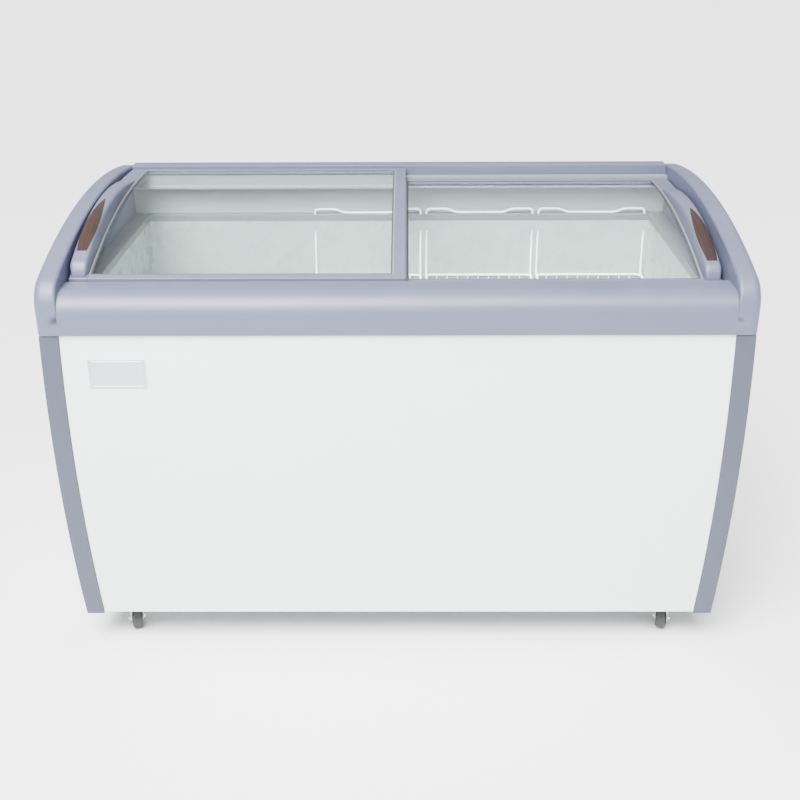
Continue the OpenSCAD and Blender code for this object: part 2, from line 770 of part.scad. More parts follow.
// Vent plate in the right panel, following its bow, with slots and an opening for the knob
module side_grille()
  color("lightslategray") difference() {
    intersection() {
      difference() {
        cabinet_body(-0.3, -body_d, grille_z0, grille_z1);
        cabinet_body(panel_in - 0.02, -body_d, grille_z0 - 1, grille_z1 + 1);
      }
      span([0, grille_y0, 0], [body_w, grille_y1, seam_z]);
    }
    for (z = [grille_z0 + 22 : slot_step : grille_z1 - 22])
      span([0, knob_y + 48, z], [body_w, grille_y1 - 20, z + slot_h]);
    rod_x([x_out - 60, knob_y, knob_z], 120, 2 * knob_r + 8);
    for (p = grille_screws) {
      rod_x([x_out - 40, p[0], p[1]], 60, screw_d);
      rod_x([side_x(p[1], -0.3) - 0.6, p[0], p[1]], 60, head_d + 0.2);
    }
  }

// Bush in the rear panel where the supply cord leaves
module cord_gland()
  color("black") difference() {
    union() {
      rod_y([gland_x, rear_y - panel_t - 8, gland_z], 8 + panel_t, gland_d);
      rod_y([gland_x, rear_y, gland_z], rear_step - 1, gland_d + 8);
    }
    rod_y([gland_x, 0, gland_z], body_d, 9);
  }

// Pipe from the liner's floor through the base pan
module drain_tube()
  color("dimgray") difference() {
    union() {
      rod_z([drain_x, drain_y, z_base], z_floor - liner_t - z_base, 2 * (drain_r + drain_wall));
      rod_z([drain_x, drain_y, z_base - 10], 10 + eps, 2 * drain_r);
    }
    rod_z([drain_x, drain_y, 0], seam_z, 2 * drain_bore);
  }

// Rubber bung in the liner's floor
module drain_plug()
  color("black") {
    rod_z([drain_x, drain_y, z_floor], 4, 2 * drain_r + 12);
    rod_z([drain_x, drain_y, z_floor - 24], 24 + eps, 2 * (drain_bore - run_gap));
    rod_z([drain_x, drain_y, z_floor + 3], 9, 8);
  }

// Pan-head screws of the rear panel and the grille
module panel_screws()
  color("silver") {
    for (p = rear_screws) {
      rod_y([p[0], rear_y, p[1]], 2, head_d);
      rod_y([p[0], rear_y - 12, p[1]], 12 + eps, screw_d - 0.1);
    }
    for (p = grille_screws) {
      x = side_x(p[1], -0.3) - 0.6;
      rod_x([x, p[0], p[1]], 1.6, head_d);
      rod_x([x - 12, p[0], p[1]], 12 + eps, screw_d - 0.1);
    }
  }

module caster_plates()
  color("silver") for (x = [-caster_x, caster_x], y = [-caster_y, caster_y]) difference() {
    span([x - caster_plate_w / 2, y - caster_plate_w / 2, plate_z],
         [x + caster_plate_w / 2, y + caster_plate_w / 2, floor_gap]);
    for (dx = [-caster_hole, caster_hole], dy = [-caster_hole, caster_hole])
      rod_z([x + dx, y + dy, 0], seam_z, caster_bolt_d + 0.2);
    rod_z([x, y, 0], seam_z, king_d);
  }

module caster_bolts()
  color("silver") for (x = [-caster_x, caster_x], y = [-caster_y, caster_y],
                       dx = [-caster_hole, caster_hole], dy = [-caster_hole, caster_hole]) {
    rod_z([x + dx, y + dy, plate_z], z_base + 10 - plate_z, caster_bolt_d);
    translate([x + dx, y + dy, plate_z - bolt_head_h]) cylinder(h = bolt_head_h, d = bolt_head_d, $fn = 6);
    translate([x + dx, y + dy, z_base]) cylinder(h = 5, d = bolt_head_d, $fn = 6);
  }

// Moves a caster part to its corner; the part is drawn with its swivel axis at the origin
module at_caster(sx, sy)
  translate([sx * caster_x, sy * caster_y, 0]) rotate([0, 0, caster_turn(sx, sy)]) children();
function caster_turn(sx, sy) = sy < 0 ? -sx * caster_yaw : sx * caster_yaw;

// Two cheeks, a crown and the king pin
module fork() {
  half = wheel_w / 2 + fork_gap;
  color("silver") difference() {
    union() {
      rod_z([0, 0, fork_top], plate_z - fork_top - 0.4, 2 * king_d + 12);
      rod_z([0, 0, fork_top], floor_gap - 0.5 - fork_top, king_d - 2 * run_gap);
      span([-half - fork_t, -18, fork_top - fork_t], [half + fork_t, 18, fork_top]);
      for (m = [0, 1]) mirror([m, 0, 0]) along_x(half, half + fork_t) {
        polygon([[-18, fork_top], [18, fork_top], [caster_trail + 9, wheel_d / 2],
                 [caster_trail - 9, wheel_d / 2]]);
        translate([caster_trail, wheel_d / 2]) circle(9);
      }
    }
    rod_x([-40, caster_trail, wheel_d / 2], 80, axle_d);
  }
}

module axle() {
  half = wheel_w / 2 + fork_gap + fork_t;
  color("silver") {
    rod_x([-half - 1, caster_trail, wheel_d / 2], 2 * half + 2, axle_d);
    for (x = [-half - 4, half])
      translate([x, caster_trail, wheel_d / 2]) rotate([0, 90, 0])
        cylinder(h = 4, d = 2 * axle_d - 1, $fn = 6);
  }
}

// Solid wheel with a rounded tread and a boss on each side
module wheel()
  color([0.08, 0.08, 0.09]) translate([0, caster_trail, wheel_d / 2]) rotate([0, 90, 0]) difference() {
    union() {
      cylinder(h = wheel_w - 6, r = wheel_d / 2, center = true);
      cylinder(h = wheel_w, r = wheel_d / 2 - 3, center = true);
    }
    cylinder(h = wheel_w + 2, d = axle_d + 2 * run_gap, center = true);
    for (m = [-1, 1]) translate([0, 0, m * wheel_w / 2]) difference() {
      cylinder(h = 8, r = wheel_d / 2 - 7, center = true);
      cylinder(h = 9, r = axle_d / 2 + 4, center = true);
    }
  }

module front_left_fork() at_caster(-1, -1) fork();
module front_left_axle() at_caster(-1, -1) axle();
module front_left_wheel() at_caster(-1, -1) wheel();
module front_right_fork() at_caster(1, -1) fork();
module front_right_axle() at_caster(1, -1) axle();
module front_right_wheel() at_caster(1, -1) wheel();
module rear_left_fork() at_caster(-1, 1) fork();
module rear_left_axle() at_caster(-1, 1) axle();
module rear_left_wheel() at_caster(-1, 1) wheel();
module rear_right_fork() at_caster(1, 1) fork();
module rear_right_axle() at_caster(1, 1) axle();
module rear_right_wheel() at_caster(1, 1) wheel();

// A curved strip of a lid, from x0 to x1 and y0 to y1, between two radii
module lid_band(x0, x1, y0, y1, outer, inner)
  along_x(x0, x1) intersection() {
    translate(lid_c) difference() {
      circle(outer, $fn = big_fn);
      circle(inner, $fn = big_fn);
    }
    translate([y0, 0]) square([y1 - y0, 2 * seam_z]);
  }

// Foot under a rail that runs on a track's floor
module lid_foot(x, y, floor_z, r)
  span([x, y - foot_w / 2, floor_z + foot_gap], [x + foot_len, y + foot_w / 2, frame_bottom(r, y) + 3]);

// Front rail, rear rail and stile of one lid; s is the end where the grip goes
module lid_frame(x0, x1, y0, y1, r, floors, s, sheet) {
  outer = r + lid_cover;
  inner = outer - lid_t;
  stile = s < 0 ? x1 - stile_w : x0;
  color("lightslategray") difference() {
    union() {
      lid_band(x0, x1, y0, y0 + front_rail_w, outer, inner);
      lid_band(x0, x1, y1 - rear_rail_w, y1, outer, inner);
      lid_band(stile, stile + stile_w, y0, y1, outer, inner);
      for (x = [x0 + 40, x1 - 40 - foot_len]) {
        lid_foot(x, y0 + front_rail_w / 2, floors[0], r);
        lid_foot(x, y1 - rear_rail_w / 2, floors[1], r);
      }
    }
    lid_sheet(sheet[0], sheet[1], y0, y1, r);
  }
}

// The glass and the slot that it sits in
module lid_sheet(x0, x1, y0, y1, r)
  lid_band(x0, x1, y0 + glass_edge, y1 - glass_edge, r, r - glass_t);

module lid_grip(x0, x1, y0, y1, r) {
  outer = r + lid_cover;
  color("lightslategray") difference() {
    union() {
      lid_band(x0, x1, y0, y1, outer, outer - lid_t);
      grip_back(x0 + grip_in, x1 - grip_in, y0, outer);
    }
    grip_inlay(x0, x1, outer);
  }
}

// Centre of the grip's back, over a lid whose frame has radius outer
function grip_c(outer) =
  let (a = asin((grip_y - lid_c[0]) / outer), d = outer + grip_h - grip_r)
  lid_c + d * [sin(a), cos(a)];

module grip_back(x0, x1, y0, outer)
  along_x(x0, x1) intersection() {
    difference() {
      translate(grip_c(outer)) circle(grip_r, $fn = big_fn);
      translate(lid_c) circle(outer - 1, $fn = big_fn);
    }
    translate([y0 + grip_tip, 0]) square([body_d, 2 * seam_z]);
  }

// Leaf-shaped strip let into the grip's back
module grip_inlay(x0, x1, outer) {
  xm = (x0 + x1) / 2;
  half = inlay_w / 2;
  leaf_r = inlay_len * inlay_len / (4 * inlay_w) + inlay_w / 4;
  y_mid = grip_y + inlay_shift;
  intersection() {
    along_x(xm - half, xm + half) difference() {
      translate(grip_c(outer)) circle(grip_r, $fn = big_fn);
      translate(grip_c(outer)) circle(grip_r - inlay_t, $fn = big_fn);
    }
    translate([0, 0, seam_z]) linear_extrude(seam_z) intersection() {
      translate([xm + leaf_r - half, y_mid]) circle(leaf_r, $fn = big_fn);
      translate([xm - leaf_r + half, y_mid]) circle(leaf_r, $fn = big_fn);
      translate([xm - half, y_mid - inlay_len / 2 + inlay_cut]) square([inlay_w, inlay_len]);
    }
  }
}

left_x0 = -x_lid;
right_x1 = x_lid;
left_frame_x0 = left_x0 + side_rail_w;
right_frame_x1 = right_x1 - side_rail_w;

left_glass_x1 = left_x1 - stile_w + glass_edge;
right_glass_x0 = right_x0 + stile_w - glass_edge;

module left_lid_frame()
  lid_frame(left_frame_x0, left_x1, left_y0, left_y1, left_lid_r, [left_front_floor, left_rear_floor], -1,
            [left_x0, left_glass_x1]);
module left_lid_glass()
  color([0.8, 0.9, 0.9, 0.4]) lid_sheet(left_frame_x0, left_glass_x1, left_y0, left_y1, left_lid_r);
module left_lid_grip() lid_grip(left_x0, left_frame_x0, left_y0, left_y1, left_lid_r);
module left_lid_inlay()
  color("saddlebrown") grip_inlay(left_x0, left_frame_x0, left_lid_r + lid_cover);

module right_lid_frame()
  lid_frame(right_x0, right_frame_x1, right_y0, right_y1, right_lid_r,
            [right_front_floor, right_rear_floor], 1,
            [right_glass_x0, right_x1]);
module right_lid_glass()
  color([0.8, 0.9, 0.9, 0.4]) lid_sheet(right_glass_x0, right_frame_x1, right_y0, right_y1, right_lid_r);
module right_lid_grip() lid_grip(right_frame_x1, right_x1, right_y0, right_y1, right_lid_r);
module right_lid_inlay()
  color("saddlebrown") grip_inlay(right_frame_x1, right_x1, right_lid_r + lid_cover);

// A straight bar between two points along one axis
module bar(a, b, d) {
  run = [for (k = [0:2]) abs(b[k] - a[k]) > d / 4 ? 0 : d / 2];
  low = [for (k = [0:2]) min(a[k], b[k]) - run[k]];
  high = [for (k = [0:2]) max(a[k], b[k]) + run[k]];
  span(low, high);
}

// Wires end to end: each takes the corner at its start and stops a weld's gap short of the next
module wire_run(points, d, closed = false) {
  last = len(points) - 2;
  for (i = [0:last]) {
    v = (points[i + 1] - points[i]) / norm(points[i + 1] - points[i]);
    reach = i < last || closed ? -d / 2 - weld_gap : d / 2;
    bar(points[i] - v * d / 2, points[i + 1] + v * reach, d);
  }
}

// Wire basket: two hanger loops, a rim, and a mesh of bent wires below it
module basket(x) {
  d = wire_d;
  w = basket_w / 2 - d / 2;
  y0 = basket_y0;
  y1 = basket_y1;
  z_dip = z_ledge + hook_gap + d / 2;
  z_front = hook_lip_z + hook_gap + d / 2;
  z_leg = z_rim + d + weld_gap;
  z_low = z_rim - basket_h;
  m = mesh_d;
  z_wall = z_low + m + weld_gap;
  wall_h = z_rim - d / 2 - weld_gap - z_wall;
  color("white") translate([x, 0, 0]) {
    // Rear loop: raised shoulders and a dip that rests on the ledge
    wire_run([[-w, y1, z_leg], [-w, y1, z_dip], [-w, y1 + hook_back, z_dip],
              [-w, y1 + hook_back, z_dip + hook_rise],
              [-dip_half, y1 + hook_back, z_dip + hook_rise], [-dip_half, y1 + hook_back, z_dip],
              [dip_half, y1 + hook_back, z_dip], [dip_half, y1 + hook_back, z_dip + hook_rise],
              [w, y1 + hook_back, z_dip + hook_rise], [w, y1 + hook_back, z_dip], [w, y1, z_dip],
                [w, y1, z_leg]], d);
    // Front loop over the lip of the front track
    wire_run([[-w, y0, z_leg], [-w, y0, z_front], [-w, y_hook - hook_lip_w / 2, z_front],
              [w, y_hook - hook_lip_w / 2, z_front], [w, y0, z_front], [w, y0, z_leg]], d);
    // Rim
    wire_run([[-w, y0, z_rim], [w, y0, z_rim], [w, y1, z_rim], [-w, y1, z_rim], [-w, y0, z_rim]], d, true);
    // Mesh floor and walls
    translate([-w - m / 2, y0 - m / 2, z_low]) linear_extrude(m)
      mesh_grid(2 * w + m, y1 - y0 + m, mesh_nx, mesh_ny, m);
    for (y = [y0, y1]) mesh_wall([-w - m / 2, y + m / 2, z_wall], 2 * w + m, wall_h, mesh_nx, [90, 0, 0],
                                 m);
    for (sx = [-w, w])
      mesh_wall([sx - m / 2, y0 + m / 2 + weld_gap, z_wall], y1 - y0 - m - 2 * weld_gap, wall_h, mesh_ny,
                [90, 0, 90], m);
  }
}

// A flat grid of square wires, w by h, with nx by ny openings
module mesh_grid(w, h, nx, ny, m)
  difference() {
    square([w, h]);
    for (i = [0:nx - 1], j = [0:ny - 1])
      translate([m + i * (w - m) / nx, m + j * (h - m) / ny]) square([(w - m) / nx - m, (h - m) / ny - m]);
  }
module mesh_wall(p, len, h, n, turn, m)
  translate(p) rotate(turn) linear_extrude(m) mesh_grid(len, h, n, 2, m);
module basket_1() basket(basket_x[0]);
module basket_2() basket(basket_x[1]);
module basket_3() basket(basket_x[2]);

front_panel();
left_panel();
right_panel();
rear_panel();
base_pan();
front_left_post();
front_right_post();
rear_left_post();
rear_right_post();
canopy_frame();
rear_rail();
front_track();
rear_track();
rear_lining();
ledge_trim();
liner();
insulation_foam();
evaporator_coil();
badge_plate();
thermometer_plate();
compressor();
compressor_mounts();
condenser();
fan_shroud();
fan_motor();
fan_blade();
filter_drier();
refrigerant_lines();
control_box();
thermostat_knob();
side_grille();
cord_gland();
drain_tube();
drain_plug();
panel_screws();
caster_plates();
caster_bolts();
front_left_fork();
front_left_axle();
front_left_wheel();
front_right_fork();
front_right_axle();
front_right_wheel();
rear_left_fork();
rear_left_axle();
rear_left_wheel();
rear_right_fork();
rear_right_axle();
rear_right_wheel();
left_lid_frame();
left_lid_glass();
left_lid_grip();
left_lid_inlay();
right_lid_frame();
right_lid_glass();
right_lid_grip();
right_lid_inlay();
basket_1();
basket_2();
basket_3();
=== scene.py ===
"""Looks of a glass-top display chest freezer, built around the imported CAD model.

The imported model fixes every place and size. This script adds the surfaces: rounded mouldings, curved
glass, round basket wires, turned wheels, and procedural materials. Lengths are in metres. X is to the
right as a customer faces the front, Y is to the back and Z is up.
"""

import json
import logging
import math
from collections.abc import Callable, Sequence
from dataclasses import dataclass
from enum import Enum

import bmesh
import bpy
from mathutils import Matrix, Vector

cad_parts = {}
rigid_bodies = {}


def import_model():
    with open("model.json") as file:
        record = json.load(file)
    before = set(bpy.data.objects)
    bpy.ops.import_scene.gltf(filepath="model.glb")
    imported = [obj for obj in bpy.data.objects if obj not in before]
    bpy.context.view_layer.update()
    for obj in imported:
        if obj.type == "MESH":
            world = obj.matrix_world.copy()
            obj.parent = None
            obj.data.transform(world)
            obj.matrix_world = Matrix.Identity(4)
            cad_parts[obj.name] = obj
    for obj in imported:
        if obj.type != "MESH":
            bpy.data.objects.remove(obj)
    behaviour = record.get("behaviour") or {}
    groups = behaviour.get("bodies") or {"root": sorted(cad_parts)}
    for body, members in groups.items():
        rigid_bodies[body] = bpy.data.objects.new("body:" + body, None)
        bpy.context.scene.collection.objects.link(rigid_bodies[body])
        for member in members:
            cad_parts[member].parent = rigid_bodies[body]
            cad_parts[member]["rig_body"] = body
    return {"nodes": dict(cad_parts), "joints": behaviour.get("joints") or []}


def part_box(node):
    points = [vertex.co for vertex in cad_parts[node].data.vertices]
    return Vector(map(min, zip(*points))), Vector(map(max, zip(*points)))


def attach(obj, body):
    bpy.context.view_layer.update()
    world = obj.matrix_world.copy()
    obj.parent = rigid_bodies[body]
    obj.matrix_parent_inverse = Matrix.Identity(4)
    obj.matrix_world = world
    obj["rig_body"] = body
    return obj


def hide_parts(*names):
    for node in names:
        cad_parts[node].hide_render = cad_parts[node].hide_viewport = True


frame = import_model()

LOG = logging.getLogger("freezer")
MM = 0.001
SEED = 7

Point = tuple[float, float, float]
Flat = tuple[float, float]


# ---------------------------------------------------------------- finishes


class Pattern(Enum):
    """The kind of surface a finish has."""

    MOULDED = "moulded"
    SPANGLE = "spangle"
    WOOD = "wood"
    GLASS = "glass"


@dataclass(frozen=True)
class Finish:
    """One material: a record slot's colour and how light meets it.

    Attributes:
        slot: the record's material slot.
        color: base colour, linear.
        roughness: mean roughness.
        metallic: 0 or 1.
        coat: weight of a clear coat.
        grain: depth of the fine bumps, in metres.
        grain_scale: bumps per metre.
        mottle: how far the colour wanders, as a share.
        dust: how much dust lies on faces that look up.
        pattern: the kind of surface.
    """

    slot: str
    color: Point
    roughness: float
    metallic: float = 0.0
    coat: float = 0.0
    grain: float = 0.00002
    grain_scale: float = 900.0
    mottle: float = 0.05
    dust: float = 0.1
    pattern: Pattern = Pattern.MOULDED


WHITE_PANEL = Finish(
    "white_panel", (0.80, 0.83, 0.84), 0.30, coat=0.35, grain=0.00001, grain_scale=260, mottle=0.02
)
GALVANISED = Finish(
    "galvanised", (0.52, 0.54, 0.55), 0.42, metallic=1.0, pattern=Pattern.SPANGLE, grain_scale=70
)
GREY_PLASTIC = Finish("grey_plastic", (0.090, 0.099, 0.158), 0.42, grain=0.00003, grain_scale=1400)
# A darker copy of the grey plastic, in the same slot: it paints the shade that falls on the corner posts.
SHADED_POST_PLASTIC = Finish("grey_plastic", (0.048, 0.054, 0.082), 0.42, grain=0.00003, grain_scale=1400)
TRACK_PLASTIC = Finish("track_plastic", (0.19, 0.205, 0.235), 0.36, grain_scale=1200)
# Light grey plastic darkened to paint the shade that falls on the rear lining inside the tub; the knob,
# thermometer plate and fan blade share this darkened grey.
SHADED_LIGHT_PLASTIC = Finish("light_plastic", (0.32, 0.335, 0.34), 0.38)
DARK_TRIM = Finish("dark_trim", (0.13, 0.142, 0.155), 0.45)
# The white liner is painted a darker grey-green, standing in for the shade that falls inside the tub.
SHADED_LINER_SHEET = Finish(
    "liner_sheet", (0.30, 0.345, 0.335), 0.28, coat=0.2, grain=0.000008, grain_scale=240, mottle=0.03
)
FOAM = Finish("foam", (0.70, 0.62, 0.36), 0.85, grain=0.0004, grain_scale=320, mottle=0.15)
COPPER = Finish("copper", (0.62, 0.29, 0.16), 0.35, metallic=1.0, mottle=0.2)
PLATE_SILVER = Finish("plate_silver", (0.63, 0.66, 0.72), 0.30, metallic=1.0, grain=0.00001, mottle=0.03)
BLACK_PAINT = Finish("black_paint", (0.018, 0.018, 0.02), 0.35, coat=0.3, dust=0.25)
RUBBER = Finish("rubber", (0.02, 0.02, 0.021), 0.72, grain=0.00004, dust=0.3)
ALUMINIUM_FIN = Finish("aluminium_fin", (0.60, 0.61, 0.62), 0.38, metallic=1.0)
BLACK_PLASTIC = Finish("black_plastic", (0.025, 0.025, 0.028), 0.48, dust=0.2)
ZINC = Finish(
    "zinc", (0.58, 0.58, 0.55), 0.30, metallic=1.0, pattern=Pattern.SPANGLE, grain_scale=420, mottle=0.12
)
WHEEL_BLACK = Finish("wheel_black", (0.022, 0.022, 0.025), 0.50, grain=0.00003, dust=0.35)
LID_GLASS = Finish("lid_glass", (0.93, 0.98, 0.965), 0.015, dust=0.0, pattern=Pattern.GLASS)
WOOD_INLAY = Finish("wood_inlay", (0.024, 0.011, 0.008), 0.40, coat=0.15, dust=0.0, pattern=Pattern.WOOD)
COATED_WIRE = Finish("coated_wire", (0.92, 0.94, 0.94), 0.30, coat=0.2, grain_scale=500, mottle=0.03)
GASKET = Finish("rubber", (0.030, 0.030, 0.033), 0.60, grain=0.00002, dust=0.1)


class Nodes:
    """Adds nodes to a tree and links them, so that a network reads as a list of steps."""

    def __init__(self, tree: bpy.types.NodeTree) -> None:
        self.tree = tree

    def add(self, kind: str, **settings: object) -> bpy.types.Node:
        """Adds one node.

        Args:
            kind: the node's type name.
            **settings: its properties.

        Returns:
            The node.
        """
        node = self.tree.nodes.new(kind)
        for name, value in settings.items():
            setattr(node, name, value)
        return node

    def link(self, source: bpy.types.NodeSocket, target: bpy.types.NodeSocket) -> None:
        """Links one socket to another."""
        self.tree.links.new(source, target)

    def math(self, operation: str, a: object, b: object = 0.0) -> bpy.types.NodeSocket:
        """Adds a maths node whose inputs are sockets or numbers, and returns its result."""
        node = self.add("ShaderNodeMath", operation=operation)
        for socket, value in zip(node.inputs, (a, b)):
            if isinstance(value, bpy.types.NodeSocket):
                self.link(value, socket)
            else:
                socket.default_value = value
        return node.outputs[0]


def shader_group(name: str, inputs: Sequence[tuple[str, str, float]], outputs: Sequence[tuple[str, str]]):
    """Makes an empty shader group.

    Args:
        name: the group's name.
        inputs: (name, socket type, default) of each input.
        outputs: (name, socket type) of each output.

    Returns:
        The tree's Nodes helper, its input node and its output node.
    """
    tree = bpy.data.node_groups.new(name, "ShaderNodeTree")
    for label, kind, default in inputs:
        socket = tree.interface.new_socket(label, in_out="INPUT", socket_type=kind)
        if kind == "NodeSocketFloat":
            socket.default_value = default
    for label, kind in outputs:
        tree.interface.new_socket(label, in_out="OUTPUT", socket_type=kind)
    nodes = Nodes(tree)
    return nodes, nodes.add("NodeGroupInput"), nodes.add("NodeGroupOutput")


def noise(nodes: Nodes, vector: bpy.types.NodeSocket, scale: object, detail: float) -> bpy.types.NodeSocket:
    """Adds a noise texture and returns its value."""
    texture = nodes.add("ShaderNodeTexNoise")
    texture.inputs["Detail"].default_value = detail
    nodes.link(vector, texture.inputs["Vector"])
    if isinstance(scale, bpy.types.NodeSocket):
        nodes.link(scale, texture.inputs["Scale"])
    else:
        texture.inputs["Scale"].default_value = scale
    return texture.outputs[0]


def moulded_group() -> bpy.types.NodeTree:
    """Fine bumps, a wandering shade and a wandering roughness, for plastic, rubber and paint."""
    nodes, given, result = shader_group(
        "MouldedSurface",
        [
            ("Vector", "NodeSocketVector", 0),
            ("Scale", "NodeSocketFloat", 900.0),
            ("Depth", "NodeSocketFloat", 0.00002),
            ("Mottle", "NodeSocketFloat", 0.05),
            ("Roughness", "NodeSocketFloat", 0.4),
        ],
        [("Shade", "NodeSocketFloat"), ("Roughness", "NodeSocketFloat"), ("Normal", "NodeSocketVector")],
    )
    broad = noise(nodes, given.outputs["Vector"], 7.0, 4.0)
    swing = nodes.math("SUBTRACT", broad, 0.5)
    shade = nodes.math("ADD", nodes.math("MULTIPLY", swing, given.outputs["Mottle"]), 1.0)
    nodes.link(shade, result.inputs["Shade"])
    smudge = nodes.math("SUBTRACT", noise(nodes, given.outputs["Vector"], 26.0, 3.0), 0.5)
    rough = nodes.math("ADD", nodes.math("MULTIPLY", smudge, 0.12), given.outputs["Roughness"])
    nodes.link(rough, result.inputs["Roughness"])
    bump = nodes.add("ShaderNodeBump")
    nodes.link(given.outputs["Depth"], bump.inputs["Distance"])
    nodes.link(noise(nodes, given.outputs["Vector"], given.outputs["Scale"], 2.0), bump.inputs["Height"])
    nodes.link(bump.outputs[0], result.inputs["Normal"])
    return nodes.tree


def spangle_group() -> bpy.types.NodeTree:
    """Crystal patches of zinc: each cell has its own shade and roughness."""
    nodes, given, result = shader_group(
        "ZincSpangle",
        [
            ("Vector", "NodeSocketVector", 0),
            ("Scale", "NodeSocketFloat", 70.0),
            ("Mottle", "NodeSocketFloat", 0.2),
            ("Roughness", "NodeSocketFloat", 0.4),
        ],
        [("Shade", "NodeSocketFloat"), ("Roughness", "NodeSocketFloat")],
    )
    cells = nodes.add("ShaderNodeTexVoronoi")
    nodes.link(given.outputs["Vector"], cells.inputs["Vector"])
    nodes.link(given.outputs["Scale"], cells.inputs["Scale"])
    split = nodes.add("ShaderNodeSeparateColor")
    nodes.link(cells.outputs["Color"], split.inputs[0])
    swing = nodes.math("MULTIPLY", nodes.math("SUBTRACT", split.outputs[0], 0.5), given.outputs["Mottle"])
    nodes.link(nodes.math("ADD", swing, 1.0), result.inputs["Shade"])
    spread = nodes.math("MULTIPLY", nodes.math("SUBTRACT", split.outputs[1], 0.5), 0.18)
    nodes.link(nodes.math("ADD", spread, given.outputs["Roughness"]), result.inputs["Roughness"])
    return nodes.tree


def wood_group() -> bpy.types.NodeTree:
    """Long dark veins that run along Y."""
    nodes, given, result = shader_group(
        "WoodVeins",
        [("Vector", "NodeSocketVector", 0)],
        [("Vein", "NodeSocketFloat"), ("Pore", "NodeSocketFloat")],
    )
    stretch = nodes.add("ShaderNodeMapping")
    stretch.inputs["Scale"].default_value = (1.0, 0.07, 0.3)
    nodes.link(given.outputs["Vector"], stretch.inputs["Vector"])
    wave = nodes.add("ShaderNodeTexWave", wave_type="BANDS", bands_direction="X")
    wave.inputs["Scale"].default_value = 55.0
    wave.inputs["Distortion"].default_value = 7.0
    wave.inputs["Detail"].default_value = 3.0
    wave.inputs["Detail Scale"].default_value = 1.6
    nodes.link(stretch.outputs[0], wave.inputs["Vector"])
    nodes.link(wave.outputs[1], result.inputs["Vein"])
    nodes.link(noise(nodes, stretch.outputs[0], 900.0, 4.0), result.inputs["Pore"])
    return nodes.tree


def dust_group() -> bpy.types.NodeTree:
    """A mask of dust: broken by noise, and only on faces that look up."""
    nodes, given, result = shader_group(
        "DustFilm",
        [("Vector", "NodeSocketVector", 0), ("Amount", "NodeSocketFloat", 0.1)],
        [("Mask", "NodeSocketFloat")],
    )
    geometry = nodes.add("ShaderNodeNewGeometry")
    split = nodes.add("ShaderNodeSeparateXYZ")
    nodes.link(geometry.outputs["Normal"], split.inputs[0])
    facing = nodes.math("POWER", nodes.math("MAXIMUM", split.outputs[2], 0.0), 2.0)
    patch = nodes.math("MULTIPLY", noise(nodes, given.outputs["Vector"], 18.0, 6.0), given.outputs["Amount"])
    nodes.link(nodes.math("MULTIPLY", facing, patch), result.inputs["Mask"])
    return nodes.tree


